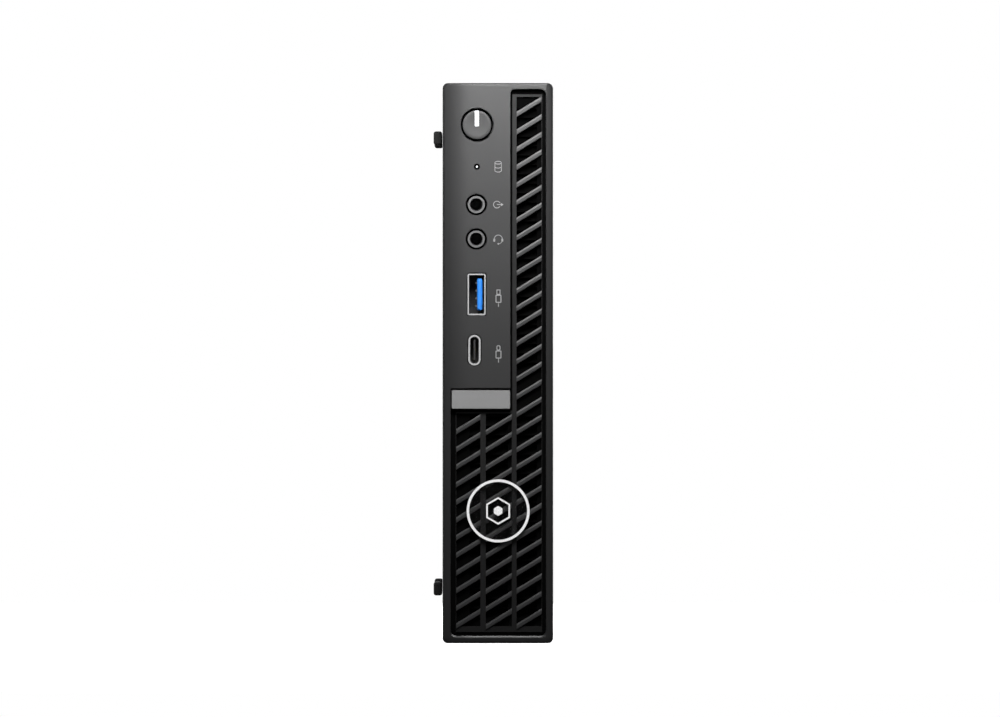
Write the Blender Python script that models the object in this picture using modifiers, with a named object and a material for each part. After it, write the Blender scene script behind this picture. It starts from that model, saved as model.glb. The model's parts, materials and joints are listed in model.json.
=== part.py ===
"""A small office computer of about one litre, standing on end: a thin upright box with its ports,
power button and air grille on the narrow front.

Frame: metres, +Z up. X is the thickness, with the tray's rubber feet on -X and the sliding cover on
+X. Y is the depth, with the front at -Y. The origin is the centre of the end face it stands on.
"""

import math

import bmesh
import bpy
from mathutils import Matrix, Vector

MM = 0.001

# Driving dimensions of the case.
THICKNESS = 36.0 * MM
DEPTH = 178.5 * MM
HEIGHT = 182.0 * MM
SHEET = 1.0 * MM
GAP = 0.3 * MM

LEFT = -THICKNESS / 2
RIGHT = THICKNESS / 2
FRONT = -DEPTH / 2
BACK = DEPTH / 2

# Front bezel.
BEZEL_DEPTH = 10.0 * MM
BEZEL_CORNER = 1.8 * MM
BEZEL_EDGE = 0.6 * MM
BEZEL_FACE = 4.0 * MM
BEZEL_SIDE = 2.8 * MM
BEZEL_BACK = FRONT + BEZEL_DEPTH
FACE_BACK = FRONT + BEZEL_FACE

# L-shaped opening of the bezel, which the grille and the name plate fill.
COLUMN_LEFT = 4.1 * MM
COLUMN_RIGHT = 15.7 * MM
COLUMN_TOP = 180.0 * MM
GRILLE_LEFT = -15.4 * MM
GRILLE_BOTTOM = 2.4 * MM
GRILLE_SHOULDER = 82.85 * MM
OPENING_CORNER = 1.2 * MM

# Grille insert: ribs, and slats that rise to the right.
INSERT_SETBACK = 2.0 * MM
INSERT_THICKNESS = 1.8 * MM
INSERT_FRONT = FRONT + INSERT_SETBACK
SLAT_PITCH = 5.739 * MM
SLAT_HEIGHT = 1.95 * MM
SLAT_SLOPE = 0.61
# Left and right side of each column, its count of slats, and the heights where its slats start and end.
COLUMNS = (
    (-13.5 * MM, -5.7 * MM, 12, 4.6 * MM, 74.6 * MM),
    (-3.9 * MM, 4.5 * MM, 12, 4.3 * MM, 74.6 * MM),
    (6.1 * MM, 14.2 * MM, 30, 4.4 * MM, 177.5 * MM),
)
COLUMN_FOOT = 5.5 * MM
PLATE_BOTTOM = 76.07 * MM
PLATE_TOP = 82.3 * MM
PLATE_THICKNESS = 1.5 * MM

# Round badge, which turns to suit the way that the computer stands.
BADGE_X = 0.1 * MM
BADGE_Z = 43.0 * MM
BADGE_RADIUS = 10.3 * MM
BADGE_RING = 1.04 * MM
BADGE_FRONT = FRONT + 0.2 * MM
BADGE_THICKNESS = 1.2 * MM
EMBLEM_RADIUS = 4.2 * MM
EMBLEM_LINE = 0.9 * MM
PIVOT_RADIUS = 1.5 * MM
PIVOT_BOSS = 3.0 * MM

# Front controls and ports.
BUTTON_X = -6.8 * MM
BUTTON_Z = 168.4 * MM
BUTTON_RADIUS = 4.8 * MM
BUTTON_HOLE = 5.5 * MM
BUTTON_FRONT = FRONT + 0.1 * MM
STEM_END = -80.6 * MM
SWITCH_FRONT = -79.6 * MM
LIGHT_WIDTH = 1.57 * MM
LIGHT_TOP = 173.0 * MM
LIGHT_BOTTOM = 168.0 * MM
ACTIVITY_Z = 154.8 * MM
ACTIVITY_RADIUS = 0.9 * MM
JACK_X = -7.0 * MM
LINE_OUT_Z = 142.5 * MM
HEADSET_Z = 131.3 * MM
JACK_HOLE = 3.5 * MM
JACK_BARREL = 2.8 * MM
JACK_BORE = 1.9 * MM
PORT_FRONT = FRONT + 0.3 * MM
USB_A_X = -6.9 * MM
USB_A_Z = 113.3 * MM
USB_A_SIZE = (5.98 * MM, 13.6 * MM)
USB_C_X = -7.6 * MM
USB_C_Z = 95.2 * MM
USB_C_SIZE = (4.16 * MM, 10.05 * MM)

# Tray, whose front box reaches into the bezel, and the cover that closes it.
TRAY_FRONT = BEZEL_BACK + GAP
TRAY_BACK = 87.9 * MM
TRAY_RIM = 8.0 * MM
NOSE_FRONT = -84.8 * MM
NOSE_LEFT = -14.9 * MM
NOSE_RIGHT = 14.9 * MM
NOSE_BOTTOM = 3.2 * MM
NOSE_TOP = HEIGHT - 3.2 * MM
COVER_LIP = 14.5 * MM
COVER_TAB = (150.0 * MM, 178.0 * MM)
SCREW_X = 11.5 * MM
SCREW_Z = 164.0 * MM
SCREW_SHANK = 1.6 * MM
SCREW_HEAD = 4.0 * MM
SCREW_HEAD_LENGTH = 5.0 * MM
WASHER_THICKNESS = 0.6 * MM
SLOT_WIDTH = 2.0 * MM
FOOT_HEIGHT = 2.9 * MM
FOOT_WIDTH = 4.4 * MM
FOOT_LENGTH = 22.0 * MM
FOOT_Z = (164.2 * MM, 17.6 * MM)
FOOT_Y = (-64.0 * MM, 64.0 * MM)

# System board and what stands on it.
BOARD_TOP = -10.3 * MM
BOARD_THICKNESS = 1.6 * MM
BOARD_Y = (-83.3 * MM, 86.4 * MM)
BOARD_Z = (5.0 * MM, 177.0 * MM)
CHIP_Y = 27.0 * MM
CHIP_Z = 45.0 * MM
FAN_Y = -45.0 * MM
FAN_Z = 45.0 * MM
FAN_RADIUS = 24.0 * MM
FAN_BLADES = 24
SINK_FINS = 17
SINK_Y = (-7.0 * MM, 61.0 * MM)
SINK_Z = (13.0 * MM, 77.0 * MM)
SINK_CORNER = 5.1 * MM
MEMORY_FRONT = -66.0 * MM
MEMORY_EDGE = -37.5 * MM
MEMORY_STEP = 5.4 * MM
MEMORY_Z = (86.0 * MM, 155.6 * MM)
DRIVE_Y = (-60.0 * MM, 40.0 * MM)
DRIVE_Z = (95.0 * MM, 165.0 * MM)
DRIVE_X = (6.6 * MM, 13.6 * MM)

PARTS = bpy.data.collections.new("mini_computer")
CUTTERS = bpy.data.collections.new("cutters")


# ---------------------------------------------------------------- tools


def clear_scene():
    for obj in list(bpy.data.objects):
        bpy.data.objects.remove(obj, do_unlink=True)


def material(name, colour, roughness, metallic=0.0, alpha=1.0):
    made = bpy.data.materials.get(name)
    if made is None:
        made = bpy.data.materials.new(name)
        made.use_nodes = True
        shader = made.node_tree.nodes["Principled BSDF"]
        shader.inputs["Base Color"].default_value = (*colour, 1.0)
        shader.inputs["Roughness"].default_value = roughness
        shader.inputs["Metallic"].default_value = metallic
        shader.inputs["Alpha"].default_value = alpha
    return made


def black_plastic():
    return material("black_plastic", (0.035, 0.035, 0.037), 0.5)


def dark_plastic():
    return material("dark_plastic", (0.012, 0.012, 0.013), 0.45)


def black_steel():
    return material("black_steel", (0.03, 0.03, 0.032), 0.42, 0.3)


def silver_metal():
    return material("silver_metal", (0.72, 0.72, 0.73), 0.28, 1.0)


def port_steel():
    return material("port_steel", (0.6, 0.6, 0.6), 0.3, 1.0)


def blue_plastic():
    return material("blue_plastic", (0.02, 0.16, 0.75), 0.4)


def light_plastic():
    return material("light_plastic", (0.92, 0.92, 0.9), 0.35)


def smoked_clear():
    return material("smoked_clear", (0.05, 0.05, 0.05), 0.08, 0.0, 0.25)


def rubber():
    return material("rubber", (0.012, 0.012, 0.012), 0.85)


def circuit_board():
    return material("circuit_board", (0.01, 0.05, 0.025), 0.45)


def aluminium():
    return material("aluminium", (0.62, 0.63, 0.64), 0.38, 1.0)


def chip_black():
    return material("chip_black", (0.02, 0.02, 0.02), 0.55)


def steel():
    return material("steel", (0.55, 0.55, 0.56), 0.35, 1.0)


def add_object(name, mesh, finish):
    """A mesh with a finish is a part of the computer; without one it is a cutter."""
    obj = bpy.data.objects.new(name, mesh)
    if finish is None:
        CUTTERS.objects.link(obj)
        obj.hide_render = True
        obj.display_type = "WIRE"
    else:
        PARTS.objects.link(obj)
        obj.data.materials.append(finish)
    return obj


def block(name, low, high, finish=None):
    low, high = Vector(low), Vector(high)
    shape = bmesh.new()
    bmesh.ops.create_cube(shape, size=1.0)
    bmesh.ops.scale(shape, vec=high - low, verts=shape.verts)
    mesh = bpy.data.meshes.new(name)
    shape.to_mesh(mesh)
    shape.free()
    obj = add_object(name, mesh, finish)
    obj.location = (low + high) / 2
    return obj


def rod(name, start, end, radius, finish=None, sides=24):
    """A straight round bar between two points."""
    start, end = Vector(start), Vector(end)
    shape = bmesh.new()
    bmesh.ops.create_cone(
        shape,
        cap_ends=True,
        segments=sides,
        radius1=radius,
        radius2=radius,
        depth=(end - start).length,
    )
    mesh = bpy.data.meshes.new(name)
    shape.to_mesh(mesh)
    shape.free()
    mesh.shade_smooth()
    mesh.set_sharp_from_angle(angle=math.radians(40))
    obj = add_object(name, mesh, finish)
    turn = (end - start).to_track_quat("Z", "Y")
    obj.matrix_world = Matrix.Translation((start + end) / 2) @ turn.to_matrix().to_4x4()
    return obj


def facing(axis):
    """The turn that lays a flat outline square to an axis: (x, z) for Y, (y, z) for X, (x, y) for Z."""
    columns = {
        "X": ((0, 1, 0), (0, 0, 1), (1, 0, 0)),
        "Y": ((1, 0, 0), (0, 0, 1), (0, -1, 0)),
        "Z": ((1, 0, 0), (0, 1, 0), (0, 0, 1)),
    }[axis]
    return Matrix(columns).transposed().to_4x4()


def plate(name, outlines, axis, low, high, finish=None):
    """Flat outlines, with those inside another as its holes, made solid from low to high along an axis.
    The origin is the middle of the first outline."""
    corners = [[point[side] for point in outlines[0]] for side in (0, 1)]
    middle = [(min(side) + max(side)) / 2 for side in corners]
    curve = bpy.data.curves.new(name, "CURVE")
    curve.dimensions = "2D"
    curve.fill_mode = "BOTH"
    curve.extrude = (high - low) / 2
    for outline in outlines:
        spline = curve.splines.new("POLY")
        spline.points.add(len(outline) - 1)
        spline.use_cyclic_u = True
        for point, (across, along) in zip(spline.points, outline):
            point.co = (across - middle[0], along - middle[1], 0.0, 1.0)
    turn = facing(axis)
    normal = Vector({"X": (1, 0, 0), "Y": (0, 1, 0), "Z": (0, 0, 1)}[axis])
    place = turn @ Vector((*middle, 0.0)) + normal * (low + high) / 2
    obj = add_object(name, mesh_of_curve(name, curve), finish)
    obj.matrix_world = Matrix.Translation(place) @ turn
    return obj


def mesh_of_curve(name, curve):
    """The closed mesh of a curve, with its caps welded to its sides."""
    guide = bpy.data.objects.new(name + "_outline", curve)
    CUTTERS.objects.link(guide)
    graph = bpy.context.evaluated_depsgraph_get()
    mesh = bpy.data.meshes.new_from_object(guide.evaluated_get(graph), depsgraph=graph)
    bpy.data.objects.remove(guide, do_unlink=True)
    shape = bmesh.new()
    shape.from_mesh(mesh)
    bmesh.ops.remove_doubles(shape, verts=shape.verts, dist=1e-7)
    bmesh.ops.recalc_face_normals(shape, faces=shape.faces)
    shape.to_mesh(mesh)
    shape.free()
    return mesh


def lead(name, points, radius, finish):
    """A thin round lead along points, with flat ends."""
    curve = bpy.data.curves.new(name, "CURVE")
    curve.dimensions = "3D"
    curve.bevel_depth = radius
    curve.bevel_resolution = 1
    curve.use_fill_caps = True
    spline = curve.splines.new("POLY")
    spline.points.add(len(points) - 1)
    for point, place in zip(spline.points, points):
        point.co = (*place, 1.0)
    obj = bpy.data.objects.new(name, curve)
    curve.materials.append(finish)
    PARTS.objects.link(obj)
    return obj


def smooth_path(points, steps):
    """Points read from a smooth curve through the given points."""
    ends = [points[0], *points, points[-1]]
    path = []
    for a, b, c, d in zip(ends, ends[1:], ends[2:], ends[3:]):
        a, b, c, d = Vector(a), Vector(b), Vector(c), Vector(d)
        for step in range(steps):
            t = step / steps
            path.append(
                0.5
                * (
                    2 * b
                    + (c - a) * t
                    + (2 * a - 5 * b + 4 * c - d) * t**2
                    + (3 * b - a - 3 * c + d) * t**3
                )
            )
    return [*path, Vector(points[-1])]


def rectangle(left, right, bottom, top, corner=0.0, steps=3):
    """An outline with round corners, or square ones where corner is 0."""
    if corner == 0.0:
        return [(left, bottom), (right, bottom), (right, top), (left, top)]
    centres = (
        (right - corner, bottom + corner, -90),
        (right - corner, top - corner, 0),
        (left + corner, top - corner, 90),
        (left + corner, bottom + corner, 180),
    )
    outline = []
    for across, along, start in centres:
        for step in range(steps + 1):
            angle = math.radians(start + 90 * step / steps)
            outline.append((across + corner * math.cos(angle), along + corner * math.sin(angle)))
    return outline


def circle(across, along, radius, sides=24, turn=0.0):
    angles = [turn + 2 * math.pi * side / sides for side in range(sides)]
    return [(across + radius * math.cos(a), along + radius * math.sin(a)) for a in angles]


def centred(across, along, width, height, corner=0.0, steps=3):
    return rectangle(
        across - width / 2, across + width / 2, along - height / 2, along + height / 2, corner, steps
    )


def cut(target, cutter):
    boolean(target, cutter, "DIFFERENCE")


def join(target, piece):
    boolean(target, piece, "UNION")


def boolean(target, other, operation):
    modifier = target.modifiers.new(operation.lower() + "_" + other.name, "BOOLEAN")
    modifier.operation = operation
    modifier.solver = "EXACT"
    modifier.object = other


def bevel(obj, width, segments=2, angle=40):
    modifier = obj.modifiers.new("edges", "BEVEL")
    modifier.width = width
    modifier.segments = segments
    modifier.limit_method = "ANGLE"
    modifier.angle_limit = math.radians(angle)


def open_box(name, low, high, thickness, open_sides, finish, bend=0.0):
    """A box of sheet with some sides left out. open_sides are outward directions."""
    low, high = Vector(low), Vector(high)
    shape = bmesh.new()
    bmesh.ops.create_cube(shape, size=1.0)
    bmesh.ops.scale(shape, vec=high - low, verts=shape.verts)
    missing = [
        face for face in shape.faces if any(face.normal.dot(Vector(side)) > 0.9 for side in open_sides)
    ]
    bmesh.ops.delete(shape, geom=missing, context="FACES")
    if bend:
        edges = [edge for edge in shape.edges if len(edge.link_faces) == 2]
        bmesh.ops.bevel(shape, geom=edges, offset=bend, segments=2, profile=0.5, affect="EDGES")
    mesh = bpy.data.meshes.new(name)
    shape.to_mesh(mesh)
    shape.free()
    obj = add_object(name, mesh, finish)
    obj.location = (low + high) / 2
    skin = obj.modifiers.new("sheet", "SOLIDIFY")
    skin.thickness = thickness
    skin.offset = -1.0
    skin.use_even_offset = True
    return obj


# ---------------------------------------------------------------- front


def grille_outline(shrink):
    """The L of the bezel's opening: a narrow column, and a wide foot that the name plate tops."""
    left, right = GRILLE_LEFT + shrink, COLUMN_RIGHT - shrink
    bottom, top = GRILLE_BOTTOM + shrink, COLUMN_TOP - shrink
    inner, shoulder = COLUMN_LEFT + shrink, GRILLE_SHOULDER - shrink
    whole = rectangle(left, right, bottom, top, OPENING_CORNER - shrink)
    upper_left = [point for point in whole if point[0] < 0 and point[1] > HEIGHT / 2]
    kept = [point for point in whole if point not in upper_left]
    notch = [(inner, top), (inner, shoulder), (left, shoulder)]
    lower_left = [point for point in kept if point[0] < 0]
    right_side = [point for point in kept if point[0] > 0]
    return right_side + notch + lower_left


def front_bezel():
    """The moulded front: a shallow tray of plastic with the openings of the grille, button and ports."""
    bezel = plate(
        "front_bezel",
        [rectangle(LEFT, RIGHT, 0.0, HEIGHT, BEZEL_CORNER, 4)],
        "Y",
        FRONT,
        BEZEL_BACK,
        black_plastic(),
    )
    soften_front(bezel)
    cut(
        bezel,
        block(
            "bezel_hollow",
            (LEFT + BEZEL_SIDE, FACE_BACK, BEZEL_SIDE),
            (RIGHT - BEZEL_SIDE, BEZEL_BACK + SHEET, HEIGHT - BEZEL_SIDE),
        ),
    )
    usb_a = centred(USB_A_X, USB_A_Z, USB_A_SIZE[0] + 2 * GAP, USB_A_SIZE[1] + 2 * GAP, 0.5 * MM, 1)
    usb_c_radius = USB_C_SIZE[0] / 2 + 0.9 * GAP
    usb_c = centred(USB_C_X, USB_C_Z, USB_C_SIZE[0] + 2 * GAP, USB_C_SIZE[1] + 2 * GAP, usb_c_radius, 4)
    openings = [
        grille_outline(0.0),
        circle(BUTTON_X, BUTTON_Z, BUTTON_HOLE, 36),
        circle(BUTTON_X, ACTIVITY_Z, ACTIVITY_RADIUS, 12),
        circle(JACK_X, LINE_OUT_Z, JACK_HOLE),
        circle(JACK_X, HEADSET_Z, JACK_HOLE),
        usb_a,
        usb_c,
    ]
    cut(bezel, plate("bezel_openings", openings, "Y", FRONT - SHEET, FACE_BACK + GAP / 10))
    return bezel


def soften_front(bezel):
    """Takes the sharp edge off the outline of the front face."""
    shape = bmesh.new()
    shape.from_mesh(bezel.data)
    front = max(vertex.co.z for vertex in shape.verts)
    rim = [
        edge
        for edge in shape.edges
        if all(abs(vertex.co.z - front) < 1e-6 for vertex in edge.verts)
        and any(abs(face.normal.z) < 0.5 for face in edge.link_faces)
    ]
    bmesh.ops.bevel(shape, geom=rim, offset=BEZEL_EDGE, segments=2, profile=0.5, affect="EDGES")
    shape.to_mesh(bezel.data)
    shape.free()


def slat_windows():
    """The slanted gaps between the slats, column by column, with a corner left over at each end."""
    windows = []
    for left, right, slats, first, top in COLUMNS:
        rise = SLAT_SLOPE * (right - left)
        foot = left + (COLUMN_FOOT - first) / SLAT_SLOPE
        windows.append([(foot, COLUMN_FOOT), (right, COLUMN_FOOT), (right, first + rise)])
        for gap in range(slats - 1):
            low = first + SLAT_HEIGHT + gap * SLAT_PITCH
            high = first + (gap + 1) * SLAT_PITCH
            window = [(left, low), (right, low + rise), (right, high + rise), (left, high)]
            if not behind_badge(window):
                windows.append(window)
        last = first + SLAT_HEIGHT + (slats - 1) * SLAT_PITCH
        head = min(right, left + (top - last) / SLAT_SLOPE)
        windows.append([(left, last), (head, top), (left, top)])
    return windows


def behind_badge(window):
    """True where a window would break into the boss that carries the badge's pin."""
    across = [point[0] for point in window]
    up = [point[1] for point in window]
    reach = PIVOT_BOSS + GAP
    beside = max(across) < BADGE_X or min(across) > BADGE_X
    clear = max(up) < BADGE_Z - reach or min(up) > BADGE_Z + reach
    return not beside and not clear


def grille_insert():
    """The grille that fills the opening: ribs and slats in one moulding, with a boss for the badge."""
    finish = dark_plastic()
    back = INSERT_FRONT + INSERT_THICKNESS
    insert = plate(
        "grille_insert", [grille_outline(GAP), *slat_windows()], "Y", INSERT_FRONT, back, finish
    )
    cut(insert, rod("badge_bearing", (BADGE_X, FRONT, BADGE_Z), (BADGE_X, -0.08, BADGE_Z), 1.9 * MM))
    return insert


def name_plate():
    """The blank silver strip between the ports and the wide part of the grille."""
    return plate(
        "name_plate",
        [rectangle(GRILLE_LEFT + GAP, COLUMN_LEFT, PLATE_BOTTOM, PLATE_TOP)],
        "Y",
        FRONT,
        FRONT + PLATE_THICKNESS,
        silver_metal(),
    )


def badge():
    """A smoked disc with a silver rim and a plain six-sided emblem, on a pin through the grille."""
    back = BADGE_FRONT + BADGE_THICKNESS
    centre = (BADGE_X, BADGE_Z)
    rim_inside = BADGE_RADIUS - BADGE_RING
    plate(
        "badge_ring",
        [circle(*centre, BADGE_RADIUS, 64), circle(*centre, rim_inside, 64)],
        "Y",
        BADGE_FRONT,
        back,
        silver_metal(),
    )
    disc_front = BADGE_FRONT + 0.5 * MM
    disc = rod(
        "badge_disc",
        (BADGE_X, disc_front, BADGE_Z),
        (BADGE_X, back, BADGE_Z),
        rim_inside - GAP / 3,
        smoked_clear(),
        64,
    )
    pin_end = INSERT_FRONT + INSERT_THICKNESS + 0.15 * MM
    pin_start = disc_front + GAP
    pin = rod("badge_pin", (BADGE_X, pin_start, BADGE_Z), (BADGE_X, pin_end, BADGE_Z), PIVOT_RADIUS)
    join(disc, pin)
    inner = EMBLEM_RADIUS - EMBLEM_LINE
    plate(
        "badge_emblem",
        [circle(*centre, EMBLEM_RADIUS, 6, math.pi / 6), circle(*centre, inner, 6, math.pi / 6)],
        "Y",
        BADGE_FRONT,
        disc_front - GAP / 3,
        silver_metal(),
    )


def power_button():
    """A round cap with a guide collar behind the front wall and a stem towards the switch."""
    cap = rod(
        "power_button",
        (BUTTON_X, BUTTON_FRONT, BUTTON_Z),
        (BUTTON_X, FACE_BACK + 0.7 * MM, BUTTON_Z),
        BUTTON_RADIUS,
        black_plastic(),
        48,
    )
    stem = rod(
        "button_stem", (BUTTON_X, FACE_BACK, BUTTON_Z), (BUTTON_X, STEM_END, BUTTON_Z), 1.5 * MM
    )
    join(cap, stem)
    light_slot = centred(
        BUTTON_X,
        (LIGHT_TOP + LIGHT_BOTTOM) / 2,
        LIGHT_WIDTH + GAP / 2,
        LIGHT_TOP - LIGHT_BOTTOM + GAP / 2,
    )
    cut(cap, plate("button_light_slot", [light_slot], "Y", FRONT - SHEET, BUTTON_FRONT + 2 * MM))
    plate(
        "power_light_pipe",
        [rectangle(BUTTON_X - LIGHT_WIDTH / 2, BUTTON_X + LIGHT_WIDTH / 2, LIGHT_BOTTOM, LIGHT_TOP)],
        "Y",
        BUTTON_FRONT,
        BUTTON_FRONT + 1.8 * MM,
        light_plastic(),
    )


def activity_light():
    rod(
        "activity_light_pipe",
        (BUTTON_X, FRONT + 0.25 * MM, ACTIVITY_Z),
        (BUTTON_X, FACE_BACK + 0.1 * MM, ACTIVITY_Z),
        0.5 * MM,
        light_plastic(),
        12,
    )


def audio_jack(name, height):
    """A round barrel in front of a square body that stands on the board."""
    body = block(
        name,
        (BOARD_TOP + GAP, -82.0 * MM, height - 3.2 * MM),
        (JACK_X + 3.2 * MM, -72.0 * MM, height + 3.2 * MM),
        port_steel(),
    )
    barrel = rod(name + "_barrel", (JACK_X, PORT_FRONT, height), (JACK_X, -81.0 * MM, height), JACK_BARREL)
    bore = rod(name + "_bore", (JACK_X, FRONT - SHEET, height), (JACK_X, -75.0 * MM, height), JACK_BORE)
    join(body, barrel)
    cut(body, bore)


def front_usb_a():
    width, height = USB_A_SIZE
    wall = 0.6 * MM
    back = -74.0 * MM
    outline = centred(USB_A_X, USB_A_Z, width, height, 0.5 * MM, 2)
    hollow = centred(USB_A_X, USB_A_Z, width - 2 * wall, height - 2 * wall)
    plate("front_usb_a_shell", [outline, hollow], "Y", PORT_FRONT, back, port_steel())
    tongue = block(
        "front_usb_a_tongue",
        (USB_A_X + 0.15 * MM, FRONT + 1.0 * MM, USB_A_Z - 5.2 * MM),
        (USB_A_X + 1.9 * MM, back - 1.0 * MM, USB_A_Z + 5.2 * MM),
        blue_plastic(),
    )
    base = plate(
        "usb_a_tongue_base",
        [centred(USB_A_X, USB_A_Z, width - 2 * wall - 0.4 * MM, height - 2 * wall - 0.4 * MM)],
        "Y",
        back - 3.0 * MM,
        back,
    )
    join(tongue, base)


def front_usb_c():
    width, height = USB_C_SIZE
    wall = 0.77 * MM
    back = -78.0 * MM
    inner_width, inner_height = width - 2 * wall, height - 2 * wall
    outline = centred(USB_C_X, USB_C_Z, width, height, 0.49 * width, 5)
    hollow = centred(USB_C_X, USB_C_Z, inner_width, inner_height, 0.49 * inner_width, 5)
    plate("front_usb_c_shell", [outline, hollow], "Y", PORT_FRONT, back, port_steel())
    tongue = plate(
        "front_usb_c_tongue",
        [centred(USB_C_X, USB_C_Z, 0.7 * MM, 6.7 * MM)],
        "Y",
        FRONT + 0.9 * MM,
        back - 1.0 * MM,
        dark_plastic(),
    )
    base_width, base_height = inner_width - 0.4 * MM, inner_height - 0.4 * MM
    base_outline = centred(USB_C_X, USB_C_Z, base_width, base_height, 0.45 * base_width, 3)
    join(tongue, plate("usb_c_tongue_base", [base_outline], "Y", back - 2.5 * MM, back))


# ---------------------------------------------------------------- case


def rear_ports():
    """Name, centre across, centre up, width across and height along Z of each port in the back wall."""
    return (
        ("power_inlet", -5.4 * MM, 165.0 * MM, 9.2 * MM, 10.0 * MM),
        ("network_port", -3.2 * MM, 146.0 * MM, 13.6 * MM, 16.0 * MM),
        ("rear_usb_stack_upper", -2.2 * MM, 126.0 * MM, 15.6 * MM, 14.6 * MM),
        ("rear_usb_stack_lower", -2.2 * MM, 107.0 * MM, 15.6 * MM, 14.6 * MM),
        ("display_port_upper", -7.0 * MM, 87.0 * MM, 6.0 * MM, 17.0 * MM),
        ("display_port_lower", -7.0 * MM, 65.0 * MM, 6.0 * MM, 17.0 * MM),
        ("video_port", -7.0 * MM, 43.0 * MM, 6.0 * MM, 15.6 * MM),
    )


def vent_slots(across_rows, first, last, length, gap):
    """Rows of short upright slots with round ends."""
    slots = []
    count = int((last - first + gap) / (length + gap))
    for across in across_rows:
        for index in range(count):
            middle = first + length / 2 + index * (length + gap)
            slots.append(centred(across, middle, SLOT_WIDTH, length, 0.4 * SLOT_WIDTH, 1))
    return slots


def chassis_tray():
    """The folded steel tray: base, end walls, back wall and a front box that carries the bezel."""
    tray = open_box(
        "chassis_tray",
        (LEFT, TRAY_FRONT, 0.0),
        (TRAY_RIM, TRAY_BACK, HEIGHT),
        SHEET,
        ((1, 0, 0),),
        black_steel(),
    )
    nose = open_box(
        "tray_nose",
        (NOSE_LEFT, NOSE_FRONT, NOSE_BOTTOM),
        (NOSE_RIGHT, TRAY_FRONT + SHEET / 2, NOSE_TOP),
        SHEET,
        ((0, 1, 0),),
        None,
    )
    join(tray, nose)
    join(
        tray,
        block(
            "tray_back_upper",
            (TRAY_RIM - SHEET, TRAY_BACK - SHEET, SHEET + GAP),
            (RIGHT - SHEET - GAP, TRAY_BACK, HEIGHT - SHEET - GAP),
        ),
    )
    cut(
        tray,
        block(
            "tray_nose_way",
            (NOSE_LEFT + SHEET, TRAY_FRONT - SHEET / 2, NOSE_BOTTOM + SHEET),
            (TRAY_RIM + SHEET, TRAY_FRONT + 2 * SHEET, NOSE_TOP - SHEET),
        ),
    )
    join(tray, padlock_loop())
    for place in board_post_places():
        join(tray, board_post(place))
    cut(tray, front_wall_openings())
    cut(tray, back_wall_openings())
    cut(tray, base_vents())
    return tray


def padlock_loop():
    outline = rectangle(TRAY_BACK - SHEET / 2, 97.0 * MM, 6.0 * MM, 17.5 * MM, 2.5 * MM)
    hole = circle(92.4 * MM, 11.75 * MM, 3.4 * MM)
    return plate("padlock_loop", [outline, hole], "X", 2.0 * MM, 3.6 * MM)


def board_post_places():
    return ((-66.0 * MM, 84.0 * MM), (-8.0 * MM, 171.0 * MM), (74.0 * MM, 80.0 * MM), (66.0 * MM, 10.0 * MM))


def board_post(place):
    along, up = place
    name = f"board_post_{round(along / MM)}_{round(up / MM)}"
    return rod(
        name,
        (LEFT + SHEET / 2, along, up),
        (BOARD_TOP - BOARD_THICKNESS - GAP, along, up),
        3.0 * MM,
        None,
        12,
    )


def front_wall_openings():
    """Room in the tray's front wall for the button, ports and incoming air."""
    openings = [
        circle(BUTTON_X, BUTTON_Z, 5.2 * MM),
        circle(BUTTON_X, ACTIVITY_Z, 1.2 * MM, 8),
        circle(JACK_X, LINE_OUT_Z, 3.3 * MM),
        circle(JACK_X, HEADSET_Z, 3.3 * MM),
        centred(USB_A_X, USB_A_Z, USB_A_SIZE[0] + 2 * GAP, USB_A_SIZE[1] + 2 * GAP),
        centred(USB_C_X, USB_C_Z, USB_C_SIZE[0] + 2 * GAP, USB_C_SIZE[1] + 2 * GAP),
        rectangle(COLUMN_LEFT + 1.5 * MM, 13.0 * MM, 88.0 * MM, 174.0 * MM, 1.0 * MM, 1),
        rectangle(-9.5 * MM, 13.0 * MM, 8.0 * MM, 74.0 * MM, 1.0 * MM, 1),
    ]
    return plate("front_wall_openings", openings, "Y", NOSE_FRONT - SHEET, NOSE_FRONT + 1.5 * SHEET)


def back_wall_openings():
    openings = [
        centred(across, up, width + 2 * GAP, height + 2 * GAP)
        for _, across, up, width, height in rear_ports()
    ]
    openings += vent_slots((7.8 * MM, 10.6 * MM, 13.4 * MM), 24.0 * MM, 146.0 * MM, 12.6 * MM, 3.0 * MM)
    openings.append(circle(SCREW_X, SCREW_Z, SCREW_SHANK + 0.4 * MM, 16))
    openings.append(centred(-8.0 * MM, 24.0 * MM, 3.0 * MM, 7.0 * MM, 1.0 * MM, 2))
    return plate("back_wall_openings", openings, "Y", TRAY_BACK - 2 * SHEET, TRAY_BACK + SHEET)


def base_vents():
    """Slots in the base under the fan and the drive, drawn as (y, z) outlines."""
    slots = []
    for first, last, start in ((22.0 * MM, 70.0 * MM, -58.0 * MM), (100.0 * MM, 148.0 * MM, -28.0 * MM)):
        across_rows = [start + row * 5.0 * MM for row in range(6)]
        slots += vent_slots(across_rows, first, last, 14.0 * MM, 3.0 * MM)
    return plate("base_vents", slots, "X", LEFT - SHEET, LEFT + 2 * SHEET)


def side_cover():
    """The cover: a sheet over the open side, folded round both ends and the back."""
    cover = open_box(
        "side_cover",
        (TRAY_RIM + GAP, TRAY_FRONT, 0.0),
        (RIGHT, BACK, HEIGHT),
        SHEET,
        ((-1, 0, 0), (0, -1, 0)),
        black_steel(),
    )
    window = rectangle(TRAY_RIM - SHEET, COVER_LIP, 2 * SHEET, COVER_TAB[0])
    corner = rectangle(TRAY_RIM - SHEET, COVER_LIP, COVER_TAB[1], HEIGHT - 2 * SHEET)
    hole = circle(SCREW_X, SCREW_Z, SCREW_SHANK + 0.4 * MM, 16)
    cut(cover, plate("cover_back_openings", [window, corner, hole], "Y", BACK - 2 * SHEET, BACK + SHEET))
    return cover


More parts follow.
